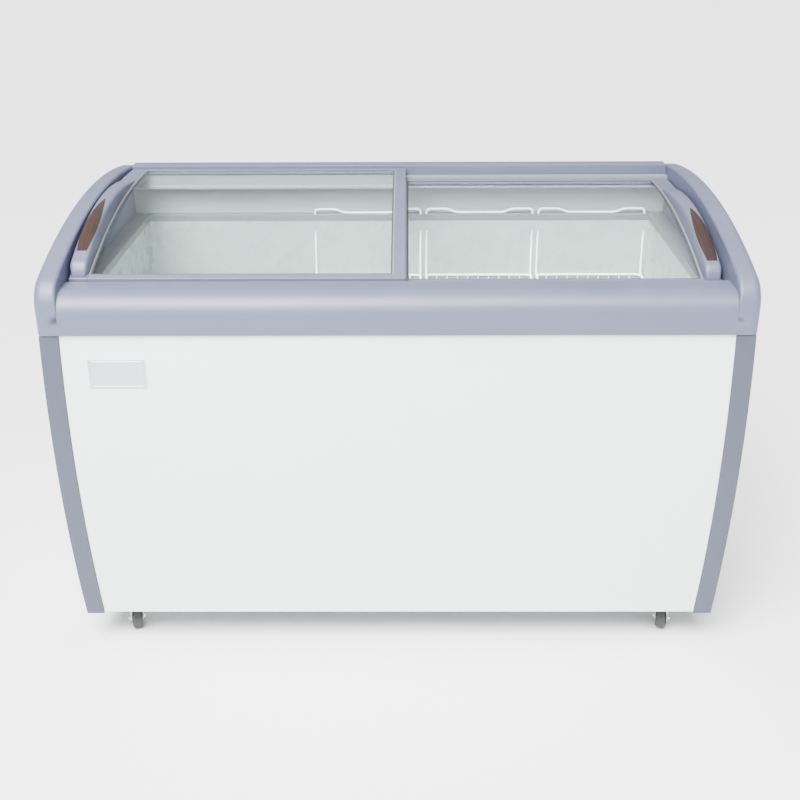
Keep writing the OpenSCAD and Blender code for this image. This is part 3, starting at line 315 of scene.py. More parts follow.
class Paintbox:
    """Makes each finish's material once and hands it out."""

    DUST = (0.42, 0.41, 0.39, 1.0)

    def __init__(self) -> None:
        self.moulded = moulded_group()
        self.spangle = spangle_group()
        self.wood = wood_group()
        self.dust = dust_group()
        self.made: dict[Finish, bpy.types.Material] = {}

    def get(self, finish: Finish) -> bpy.types.Material:
        """Returns the finish's material, made on first use."""
        if finish not in self.made:
            make = self._glass if finish.pattern is Pattern.GLASS else self._solid
            self.made[finish] = make(finish)
        return self.made[finish]

    def _start(self, finish: Finish) -> tuple[bpy.types.Material, Nodes, bpy.types.Node]:
        material = bpy.data.materials.new(f"{finish.slot}_{len(self.made):02d}")
        material.use_nodes = True
        nodes = Nodes(material.node_tree)
        shader = material.node_tree.nodes["Principled BSDF"]
        shader.inputs["Base Color"].default_value = (*finish.color, 1.0)
        shader.inputs["Roughness"].default_value = finish.roughness
        shader.inputs["Metallic"].default_value = finish.metallic
        shader.inputs["Coat Weight"].default_value = finish.coat
        shader.inputs["Coat Roughness"].default_value = 0.12
        return material, nodes, shader

    def _glass(self, finish: Finish) -> bpy.types.Material:
        """Clear glass that lets light through to what lies under it."""
        material, nodes, shader = self._start(finish)
        shader.inputs["Transmission Weight"].default_value = 1.0
        shader.inputs["IOR"].default_value = 1.33
        clear = nodes.add("ShaderNodeBsdfTransparent")
        clear.inputs[0].default_value = (*finish.color, 1.0)
        path = nodes.add("ShaderNodeLightPath")
        mix = nodes.add("ShaderNodeMixShader")
        nodes.link(path.outputs["Is Shadow Ray"], mix.inputs[0])
        nodes.link(shader.outputs[0], mix.inputs[1])
        nodes.link(clear.outputs[0], mix.inputs[2])
        nodes.link(mix.outputs[0], material.node_tree.nodes["Material Output"].inputs[0])
        return material

    def _group(self, nodes: Nodes, tree: bpy.types.NodeTree, place: bpy.types.NodeSocket, **values: float):
        node = nodes.add("ShaderNodeGroup", node_tree=tree)
        nodes.link(place, node.inputs["Vector"])
        for name, value in values.items():
            node.inputs[name].default_value = value
        return node

    def _solid(self, finish: Finish) -> bpy.types.Material:
        material, nodes, shader = self._start(finish)
        place = nodes.add("ShaderNodeTexCoord").outputs["Object"]
        body = nodes.add("ShaderNodeMix", data_type="RGBA", blend_type="MULTIPLY")
        body.inputs[0].default_value = 1.0
        body.inputs[6].default_value = (*finish.color, 1.0)
        if finish.pattern is Pattern.SPANGLE:
            detail = self._group(
                nodes, self.spangle, place, Scale=finish.grain_scale, Mottle=0.22, Roughness=finish.roughness
            )
        else:
            detail = self._group(
                nodes,
                self.moulded,
                place,
                Scale=finish.grain_scale,
                Depth=finish.grain,
                Mottle=finish.mottle * 2,
                Roughness=finish.roughness,
            )
            nodes.link(detail.outputs["Normal"], shader.inputs["Normal"])
        nodes.link(detail.outputs["Shade"], body.inputs[7])
        nodes.link(detail.outputs["Roughness"], shader.inputs["Roughness"])
        colour = body.outputs[2]
        if finish.pattern is Pattern.WOOD:
            veins = self._group(nodes, self.wood, place)
            ramp = nodes.add("ShaderNodeValToRGB")
            for stop, share in zip(ramp.color_ramp.elements, (0.65, 1.35)):
                stop.color = (*(share * c for c in finish.color), 1.0)
            pores = nodes.math("ADD", veins.outputs["Pore"], 0.4)
            nodes.link(nodes.math("MULTIPLY", veins.outputs["Vein"], pores), ramp.inputs[0])
            colour = ramp.outputs[0]
        film = self._group(nodes, self.dust, place, Amount=finish.dust)
        dusty = nodes.add("ShaderNodeMix", data_type="RGBA")
        dusty.inputs[7].default_value = self.DUST
        nodes.link(film.outputs["Mask"], dusty.inputs[0])
        nodes.link(colour, dusty.inputs[6])
        nodes.link(dusty.outputs[2], shader.inputs["Base Color"])
        return material


PAINT = Paintbox()


# ---------------------------------------------------------------- making pieces


def arc_centre(p: Flat, q: Flat, radius: float) -> Flat:
    """Centre of the circle of that radius through p and q, on the right as one goes from p to q."""
    dy, dz = q[0] - p[0], q[1] - p[1]
    chord = math.hypot(dy, dz)
    rise = math.sqrt(radius * radius - chord * chord / 4)
    return ((p[0] + q[0]) / 2 + rise * dz / chord, (p[1] + q[1]) / 2 - rise * dy / chord)


def arc_z(centre: Flat, radius: float, y: float) -> float:
    """Height of a circle's upper half at y."""
    return centre[1] + math.sqrt(radius * radius - (y - centre[0]) ** 2)


def steps(low: float, high: float, count: int) -> list[float]:
    """count + 1 values spaced evenly from low to high."""
    return [low + (high - low) * i / count for i in range(count + 1)]


def rounded_path(
    corners: Sequence[Point], radius: float, closed: bool = False, turns: int = 4
) -> list[Point]:
    """A polyline with its corners rounded off.

    Args:
        corners: the corner points.
        radius: how far from each corner the rounding starts.
        closed: whether the last point joins the first.
        turns: segments in each rounding.

    Returns:
        The points of the rounded line.
    """
    points = [Vector(c) for c in corners]
    count = len(points)
    line: list[Point] = []
    for i, here in enumerate(points):
        if not closed and i in (0, count - 1):
            line.append(tuple(here))
            continue
        before, after = points[i - 1] - here, points[(i + 1) % count] - here
        cut = min(radius, before.length * 0.49, after.length * 0.49)
        start, end = here + before.normalized() * cut, here + after.normalized() * cut
        for t in steps(0.0, 1.0, turns):
            line.append(tuple(start * (1 - t) ** 2 + here * 2 * t * (1 - t) + end * t * t))
    return line


def finished(name: str, mesh: bpy.types.Mesh, body: str, finish: Finish) -> bpy.types.Object:
    """Links a mesh as a piece that rides on a body, with its material, whose name starts with the finish's
    slot.

    Args:
        name: the piece's name.
        mesh: its mesh, in the row frame.
        body: the CAD body it rides on.
        finish: its finish.

    Returns:
        The piece.
    """
    piece = bpy.data.objects.new(name, mesh)
    bpy.context.scene.collection.objects.link(piece)
    mesh.materials.clear()
    mesh.materials.append(PAINT.get(finish))
    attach(piece, body)
    LOG.info("%-28s %6d faces on %s", name, len(mesh.polygons), body)
    return piece


def settle(mesh: bpy.types.Mesh, bevel: float, sharp: float, segments: int = 2) -> bpy.types.Mesh:
    """Bevels a mesh's corners, smooths it and evens out its normals.

    Args:
        mesh: the mesh to finish.
        bevel: width of the bevel, or 0 for none.
        sharp: corners steeper than this, in degrees, stay sharp.
        segments: segments in each bevel.

    Returns:
        A new mesh with the changes made.
    """
    carrier = bpy.data.objects.new("carrier", mesh)
    bpy.context.scene.collection.objects.link(carrier)
    mesh.shade_smooth()
    mesh.set_sharp_from_angle(angle=math.radians(sharp))
    if bevel:
        rounder = carrier.modifiers.new("Bevel", "BEVEL")
        rounder.width = bevel
        rounder.segments = segments
        rounder.limit_method = "ANGLE"
        rounder.angle_limit = math.radians(28)
        rounder.miter_outer = "MITER_ARC"
    weight = carrier.modifiers.new("Weight", "WEIGHTED_NORMAL")
    weight.keep_sharp = bevel == 0
    bpy.context.view_layer.update()
    result = bpy.data.meshes.new_from_object(carrier.evaluated_get(bpy.context.evaluated_depsgraph_get()))
    bpy.data.objects.remove(carrier)
    return result


def refine(node: str, finish: Finish, bevel: float, name: str = "", segments: int = 2) -> bpy.types.Object:
    """Stands for a CAD node with a copy of its shape, its corners rounded.

    Args:
        node: the CAD node.
        finish: the copy's finish.
        bevel: width of the rounding.
        name: the piece's name, or empty to use the node's.
        segments: segments in each rounding.

    Returns:
        The piece.
    """
    source = frame["nodes"][node]
    shape = bmesh.new()
    shape.from_mesh(source.data)
    bmesh.ops.remove_doubles(shape, verts=shape.verts, dist=2e-6)
    if bevel:
        bmesh.ops.dissolve_limit(shape, angle_limit=math.radians(0.15), verts=shape.verts, edges=shape.edges)
    bmesh.ops.recalc_face_normals(shape, faces=shape.faces)
    mesh = bpy.data.meshes.new(node)
    shape.to_mesh(mesh)
    shape.free()
    piece = finished(name or f"{node}_fine", settle(mesh, bevel, 32, segments), source["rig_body"], finish)
    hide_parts(node)
    return piece


def loft(rings: Sequence[Sequence[Point]], closed: bool = True) -> bmesh.types.BMesh:
    """A closed skin through rings of equal length, with a cap on the first and the last.

    Args:
        rings: the rings, each a list of points.
        closed: whether each ring joins up; an open ring is closed by one flat face between its ends.

    Returns:
        The skin.
    """
    skin = bmesh.new()
    grid = [[skin.verts.new(p) for p in ring] for ring in rings]
    count = len(grid[0])
    for near, far in zip(grid, grid[1:]):
        for i in range(count if closed else count - 1):
            j = (i + 1) % count
            skin.faces.new((near[i], near[j], far[j], far[i]))
    skin.faces.new(grid[0])
    skin.faces.new(grid[-1])
    if not closed:
        skin.faces.new([ring[0] for ring in grid] + [ring[-1] for ring in reversed(grid)])
    bmesh.ops.remove_doubles(skin, verts=skin.verts, dist=1e-7)
    bmesh.ops.recalc_face_normals(skin, faces=skin.faces)
    return skin


def skinned(name: str, skin: bmesh.types.BMesh, body: str, finish: Finish, bevel: float = 0.0,
            sharp: float = 32.0) -> bpy.types.Object:
    """Turns a skin into a finished piece.

    Args:
        name: the piece's name.
        skin: the skin, which is freed.
        body: the CAD body it rides on.
        finish: its finish.
        bevel: width of the rounding on its corners.
        sharp: corners steeper than this, in degrees, stay sharp.

    Returns:
        The piece.
    """
    mesh = bpy.data.meshes.new(name)
    skin.to_mesh(mesh)
    skin.free()
    return finished(name, settle(mesh, bevel, sharp), body, finish)


def prism(outline: Sequence[Flat], x0: float, x1: float) -> bmesh.types.BMesh:
    """A solid of one outline in Y and Z, from x0 to x1."""
    return loft([[(x, y, z) for y, z in outline] for x in (x0, x1)])


def turned(profile: Sequence[Flat], centre: Point, axis: Point, count: int = 48) -> bmesh.types.BMesh:
    """A solid turned on a lathe.

    Args:
        profile: (radius, distance along the axis) of each point, from the axis and back to it.
        centre: the origin of the distances.
        axis: direction of the axis.
        count: facets around.

    Returns:
        The skin.
    """
    skin = bmesh.new()
    line = [skin.verts.new((r, 0.0, h)) for r, h in profile]
    for a, b in zip(line, line[1:]):
        skin.edges.new((a, b))
    bmesh.ops.spin(skin, geom=skin.verts[:] + skin.edges[:], cent=(0, 0, 0), axis=(0, 0, 1),
                   angle=math.tau, steps=count, use_duplicate=False)
    bmesh.ops.remove_doubles(skin, verts=skin.verts, dist=1e-6)
    bmesh.ops.recalc_face_normals(skin, faces=skin.faces)
    turn = Vector((0, 0, 1)).rotation_difference(Vector(axis)).to_matrix().to_4x4()
    bmesh.ops.transform(skin, matrix=Matrix.Translation(centre) @ turn, verts=skin.verts)
    return skin


# ---------------------------------------------------------------- geometry nodes


def geometry_tree(
    name: str, inputs: Sequence[tuple[str, str]]
) -> tuple[Nodes, bpy.types.Node, bpy.types.Node]:
    """Makes a geometry node tree with one geometry input and output, and these other inputs."""
    tree = bpy.data.node_groups.new(name, "GeometryNodeTree")
    tree.interface.new_socket("Geometry", in_out="INPUT", socket_type="NodeSocketGeometry")
    for label, kind in inputs:
        tree.interface.new_socket(label, in_out="INPUT", socket_type=kind)
    tree.interface.new_socket("Geometry", in_out="OUTPUT", socket_type="NodeSocketGeometry")
    nodes = Nodes(tree)
    return nodes, nodes.add("NodeGroupInput"), nodes.add("NodeGroupOutput")


def end_tree(
    nodes: Nodes, geometry: bpy.types.NodeSocket, given: bpy.types.Node, result: bpy.types.Node
) -> None:
    """Ends a tree: instances are made real and get the Material input."""
    real = nodes.add("GeometryNodeRealizeInstances")
    paint = nodes.add("GeometryNodeSetMaterial")
    nodes.link(geometry, real.inputs[0])
    nodes.link(real.outputs[0], paint.inputs["Geometry"])
    nodes.link(given.outputs["Material"], paint.inputs["Material"])
    nodes.link(paint.outputs[0], result.inputs[0])


def wire_tree() -> bpy.types.NodeTree:
    """Turns every chain of edges into a round wire."""
    nodes, given, result = geometry_tree(
        "WireAlongEdges",
        [("Radius", "NodeSocketFloat"), ("Sides", "NodeSocketInt"), ("Material", "NodeSocketMaterial")],
    )
    curve = nodes.add("GeometryNodeMeshToCurve")
    ring = nodes.add("GeometryNodeCurvePrimitiveCircle")
    tube = nodes.add("GeometryNodeCurveToMesh")
    smooth = nodes.add("GeometryNodeSetShadeSmooth")
    tube.inputs["Fill Caps"].default_value = True
    nodes.link(given.outputs["Geometry"], curve.inputs["Mesh"])
    nodes.link(given.outputs["Sides"], ring.inputs["Resolution"])
    nodes.link(given.outputs["Radius"], ring.inputs["Radius"])
    nodes.link(curve.outputs[0], tube.inputs["Curve"])
    nodes.link(ring.outputs[0], tube.inputs["Profile Curve"])
    nodes.link(tube.outputs[0], smooth.inputs["Geometry"])
    end_tree(nodes, smooth.outputs[0], given, result)
    return nodes.tree


def row_tree() -> bpy.types.NodeTree:
    """Repeats a piece along a straight row, with a little seeded unevenness in its place."""
    nodes, given, result = geometry_tree(
        "RowOfPieces",
        [
            ("Count", "NodeSocketInt"),
            ("Step", "NodeSocketVector"),
            ("Unevenness", "NodeSocketFloat"),
            ("Seed", "NodeSocketInt"),
            ("Material", "NodeSocketMaterial"),
        ],
    )
    row = nodes.add("GeometryNodeMeshLine", mode="OFFSET")
    wander = nodes.add("FunctionNodeRandomValue", data_type="FLOAT_VECTOR")
    scale = nodes.add("ShaderNodeVectorMath", operation="SCALE")
    centred = nodes.add("ShaderNodeVectorMath", operation="SUBTRACT")
    moved = nodes.add("GeometryNodeSetPosition")
    copies = nodes.add("GeometryNodeInstanceOnPoints")
    centred.inputs[1].default_value = (0.5, 0.5, 0.5)
    nodes.link(given.outputs["Count"], row.inputs["Count"])
    nodes.link(given.outputs["Step"], row.inputs["Offset"])
    nodes.link(given.outputs["Seed"], wander.inputs["Seed"])
    nodes.link(wander.outputs[0], centred.inputs[0])
    nodes.link(centred.outputs[0], scale.inputs[0])
    nodes.link(given.outputs["Unevenness"], scale.inputs["Scale"])
    nodes.link(row.outputs[0], moved.inputs["Geometry"])
    nodes.link(scale.outputs[0], moved.inputs["Offset"])
    nodes.link(moved.outputs[0], copies.inputs["Points"])
    nodes.link(given.outputs["Geometry"], copies.inputs["Instance"])
    end_tree(nodes, copies.outputs[0], given, result)
    return nodes.tree


WIRES = wire_tree()
ROWS = row_tree()


def grown(name: str, seed_mesh: bpy.types.Mesh, tree: bpy.types.NodeTree, body: str, finish: Finish,
          **values: object) -> bpy.types.Object:
    """Runs a geometry tree on a mesh and keeps the result as a plain mesh.

    Args:
        name: the piece's name.
        seed_mesh: the mesh the tree starts from.
        tree: the geometry tree.
        body: the CAD body it rides on.
        finish: its finish.
        **values: the tree's other inputs, by name.

    Returns:
        The piece.
    """
    carrier = bpy.data.objects.new("carrier", seed_mesh)
    bpy.context.scene.collection.objects.link(carrier)
    modifier = carrier.modifiers.new("Grow", "NODES")
    modifier.node_group = tree
    sockets = {s.name: s.identifier for s in tree.interface.items_tree if s.in_out == "INPUT"}
    for label, value in {**values, "Material": PAINT.get(finish)}.items():
        modifier[sockets[label]] = value
    bpy.context.view_layer.update()
    mesh = bpy.data.meshes.new_from_object(carrier.evaluated_get(bpy.context.evaluated_depsgraph_get()))
    bpy.data.objects.remove(carrier)
    return finished(name, mesh, body, finish)


def wires(name: str, lines: Sequence[Sequence[Point]], loops: Sequence[Sequence[Point]], radius: float,
          body: str, finish: Finish, sides: int = 10) -> bpy.types.Object:
    """Round wires along open lines and closed loops."""
    mesh = bpy.data.meshes.new(name)
    points: list[Point] = []
    edges: list[tuple[int, int]] = []
    for line, closed in [(line, False) for line in lines] + [(loop, True) for loop in loops]:
        start = len(points)
        points.extend(line)
        edges.extend((start + i, start + i + 1) for i in range(len(line) - 1))
        if closed:
            edges.append((len(points) - 1, start))
    mesh.from_pydata(points, edges, [])
    return grown(name, mesh, WIRES, body, finish, Radius=radius, Sides=sides)


def row(name: str, item: bmesh.types.BMesh, count: int, step: Point, body: str, finish: Finish,
        bevel: float = 0.0, unevenness: float = 0.0) -> bpy.types.Object:
    """A row of copies of one small piece."""
    mesh = bpy.data.meshes.new(name)
    item.to_mesh(mesh)
    item.free()
    return grown(name, settle(mesh, bevel, 32), ROWS, body, finish, Count=count, Step=step,
                 Unevenness=unevenness, Seed=SEED)


# ---------------------------------------------------------------- the canopy


@dataclass
class Canopy:
    """The grey moulding round the top: two cheeks with a curved crown, an apron and a rear rail.

    Attributes:
        crown_r: radius of the crown, seen from the side.
        crown_front: height of the crown above the seam, 60 mm behind the front.
        crown_back: height of the crown above the seam, at the back.
        bend_r: radius where the crown turns down to the front.
        cheek_w: width of a cheek.
        shoulder: rounding of a cheek's outer shoulder.
        inner_edge: rounding of a cheek's inner edge.
        apron_h: height of the apron above the seam.
        apron_d: depth of the apron.
        apron_r: rounding of the apron's top.
    """

    crown_r: float = 1400 * MM
    crown_front: float = 107.5 * MM
    crown_back: float = 153.4 * MM
    bend_r: float = 58 * MM
    cheek_w: float = 41 * MM
    shoulder: float = 16 * MM
    inner_edge: float = 6 * MM
    apron_h: float = 75 * MM
    apron_d: float = 83 * MM
    apron_r: float = 42 * MM

    def __post_init__(self) -> None:
        self.low, self.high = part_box("canopy_frame")
        self.seam = self.low.z
        self.crown = arc_centre(
            (self.low.y + 60 * MM, self.seam + self.crown_front), (self.high.y, self.seam + self.crown_back),
            self.crown_r,
        )
        bend_y = self.low.y + self.bend_r
        self.bend = (bend_y, arc_z(self.crown, self.crown_r - self.bend_r, bend_y))

    def outline(self, inset: Callable[[float], float]) -> list[Flat]:
        """One ring of a cheek, from the back's foot over the crown to the front's foot.

        Args:
            inset: how far in the ring lies, as a function of height.

        Returns:
            Its points in Y and Z.
        """
        back = inset(self.high.z)
        y_back = self.high.y - back
        tangent = math.atan2(self.bend[1] - self.crown[1], self.bend[0] - self.crown[0])
        start = math.acos((y_back - self.crown[0]) / (self.crown_r - back))
        ring: list[Flat] = [(y_back, self.seam)]
        for a in steps(start, tangent, 40):
            r = self.crown_r - inset(self.crown[1] + self.crown_r * math.sin(a))
            ring.append((self.crown[0] + r * math.cos(a), self.crown[1] + r * math.sin(a)))
        for a in steps(tangent, math.pi, 14)[1:]:
            r = self.bend_r - inset(self.bend[1] + self.bend_r * math.sin(a))
            ring.append((self.bend[0] + r * math.cos(a), self.bend[1] + r * math.sin(a)))
        for z in steps(self.bend[1], self.seam, 3)[1:]:
            ring.append((self.low.y + inset(z), z))
        return ring

    def cheek(self, side: int) -> bpy.types.Object:
        """One cheek; side is -1 at the left and 1 at the right."""
        top = self.seam + self.apron_h
        inner = self.high.x - self.cheek_w

        def fade(z: float) -> float:
            t = min(max((z - top + 30 * MM) / (30 * MM), 0.0), 1.0)
            return self.inner_edge * t * t * (3 - 2 * t)

        rings = []
        for a in steps(0, math.pi / 2, 4):
            ring = self.outline(lambda z, a=a: fade(z) * (1 - math.sin(a)))
            rings.append([(side * (inner + fade(z) * (1 - math.cos(a))), y, z) for y, z in ring])
        for a in steps(0, math.pi / 2, 8):
            x = self.high.x - self.shoulder * (1 - math.sin(a))
            ring = self.outline(lambda z, a=a: self.shoulder * (1 - math.cos(a)))
            rings.append([(side * x, y, z) for y, z in ring])
        return skinned(f"cheek_{'left' if side < 0 else 'right'}", loft(rings, closed=False), "cabinet",
                       GREY_PLASTIC, sharp=30)

    def apron(self) -> bpy.types.Object:
        """The apron, with its rounded top front edge and an eased rear edge."""
        top, rear = self.seam + self.apron_h, self.low.y + self.apron_d
        reach = self.high.x - self.cheek_w + 3 * MM
        front = self.low.y + 0.05 * MM
        outline = [(front, self.seam)]
        outline += [
            (front + self.apron_r * (1 - math.cos(a)), top - self.apron_r * (1 - math.sin(a)))
            for a in steps(0, math.pi / 2, 16)
        ]
        ease = 3 * MM
        outline += [
            (rear - ease * (1 - math.sin(a)), top - ease * (1 - math.cos(a)))
            for a in steps(0, math.pi / 2, 4)
        ]
        outline.append((rear, self.seam))
        return skinned("apron", prism(outline, -reach, reach), "cabinet", GREY_PLASTIC, sharp=30)

    def build(self) -> None:
        """Makes the canopy."""
        apron = self.apron()
        for side in (-1, 1):
            self.cheek(side)
        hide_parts("canopy_frame")
        refine("rear_rail", GREY_PLASTIC, 1.5 * MM)


# ---------------------------------------------------------------- the cabinet


@dataclass
class Cabinet:
    """The outer skin: panels, posts, base, badge plate, grille and the small fittings on them.

    Attributes:
        post_edge: rounding of the corner posts' edges.
        panel_edge: rounding of the sheet panels' edges.
    """

    post_edge: float = 2.6 * MM
    panel_edge: float = 0.4 * MM

    def badge(self) -> None:
        """The blank plate, with a raised border that follows the panel's bow."""
        plate = refine("badge_plate", PLATE_SILVER, 0.4 * MM)
        low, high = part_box("badge_plate")
        rim, inset = 0.7 * MM, 4 * MM
        mesh = plate.data
        front: dict[float, float] = {}
        for vertex in mesh.vertices:
            z = round(vertex.co.z, 4)
            front[z] = min(front.get(z, 1.0), vertex.co.y)
        levels = sorted(front)

        def face_y(z: float) -> float:
            near = [lv for lv in levels if abs(lv - z) < 30 * MM and front[lv] < high.y - 0.4 * MM]
            below = max((lv for lv in near if lv <= z), default=near[0])
            above = min((lv for lv in near if lv >= z), default=near[-1])
            share = 0.0 if above == below else (z - below) / (above - below)
            return front[below] * (1 - share) + front[above] * share

        corners = [(low.x + inset, low.z + inset), (high.x - inset, low.z + inset),
                   (high.x - inset, high.z - inset), (low.x + inset, high.z - inset)]
        ring = rounded_path([(x, 0.0, z) for x, z in corners], 5 * MM, closed=True, turns=6)
        loop: list[Point] = []
        for here, there in zip(ring, ring[1:] + ring[:1]):
            for t in steps(0, 1, 4)[:-1]:
                x, z = here[0] + (there[0] - here[0]) * t, here[2] + (there[2] - here[2]) * t
                loop.append((x, face_y(z) + 0.2 * MM, z))
        wires("badge_border", [], [loop], rim, "cabinet", PLATE_SILVER, sides=8)

    def grille(self) -> None:
        """The vent plate with a row of slanted blades behind its slots."""
        refine("side_grille", GREY_PLASTIC, 0.5 * MM)
        low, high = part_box("side_grille")
        step, count, sheet = 16 * MM, 10, 1 * MM
        first = low.z + 22 * MM
        x0 = high.x - 15 * MM
        x1 = x0 + 8 * MM
        z0, z1 = first + 7 * MM, first - 1 * MM
        item = loft([
            [(x0, y, z0), (x1, y, z1), (x1 + sheet, y, z1), (x0 + sheet, y, z0)]
            for y in (low.y + 96 * MM, high.y - 16 * MM)
        ])
        row("grille_blades", item, count, (0, 0, step), "cabinet", BLACK_PLASTIC, 0.3 * MM)

    def build(self) -> None:
        """Makes the skin and what is on it."""
        for side in ("front", "left", "right"):
            refine(f"{side}_panel", WHITE_PANEL, self.panel_edge)
        refine("rear_panel", GALVANISED, self.panel_edge)
        refine("base_pan", GALVANISED, 0.8 * MM)
        for post in ("front_left", "front_right", "rear_left", "rear_right"):
            refine(f"{post}_post", SHADED_POST_PLASTIC, self.post_edge, segments=3)
        self.badge()
        self.grille()
        refine("panel_screws", ZINC, 0.5 * MM)
        refine("thermostat_knob", SHADED_LIGHT_PLASTIC, 1.2 * MM, segments=3)
        refine("control_box", BLACK_PLASTIC, 1 * MM)
        refine("cord_gland", BLACK_PLASTIC, 0.8 * MM)


# ---------------------------------------------------------------- the inside


@dataclass
class Interior:
    """What shows through the glass: the liner, its grey ledge, the lid tracks and the lining above."""

    def build(self) -> None:
        """Makes the inside."""
        refine("liner", SHADED_LINER_SHEET, 0.0)
        refine("ledge_trim", DARK_TRIM, 1 * MM)
        refine("front_track", TRACK_PLASTIC, 0.4 * MM)
        refine("rear_track", TRACK_PLASTIC, 0.4 * MM)
        refine("rear_lining", SHADED_LIGHT_PLASTIC, 0.5 * MM)
        refine("thermometer_plate", SHADED_LIGHT_PLASTIC, 0.8 * MM)
        refine("drain_plug", RUBBER, 0.8 * MM)
        refine("drain_tube", BLACK_PLASTIC, 0.4 * MM)
        refine("insulation_foam", FOAM, 0.0)
        refine("evaporator_coil", COPPER, 0.0)


# ---------------------------------------------------------------- the lids


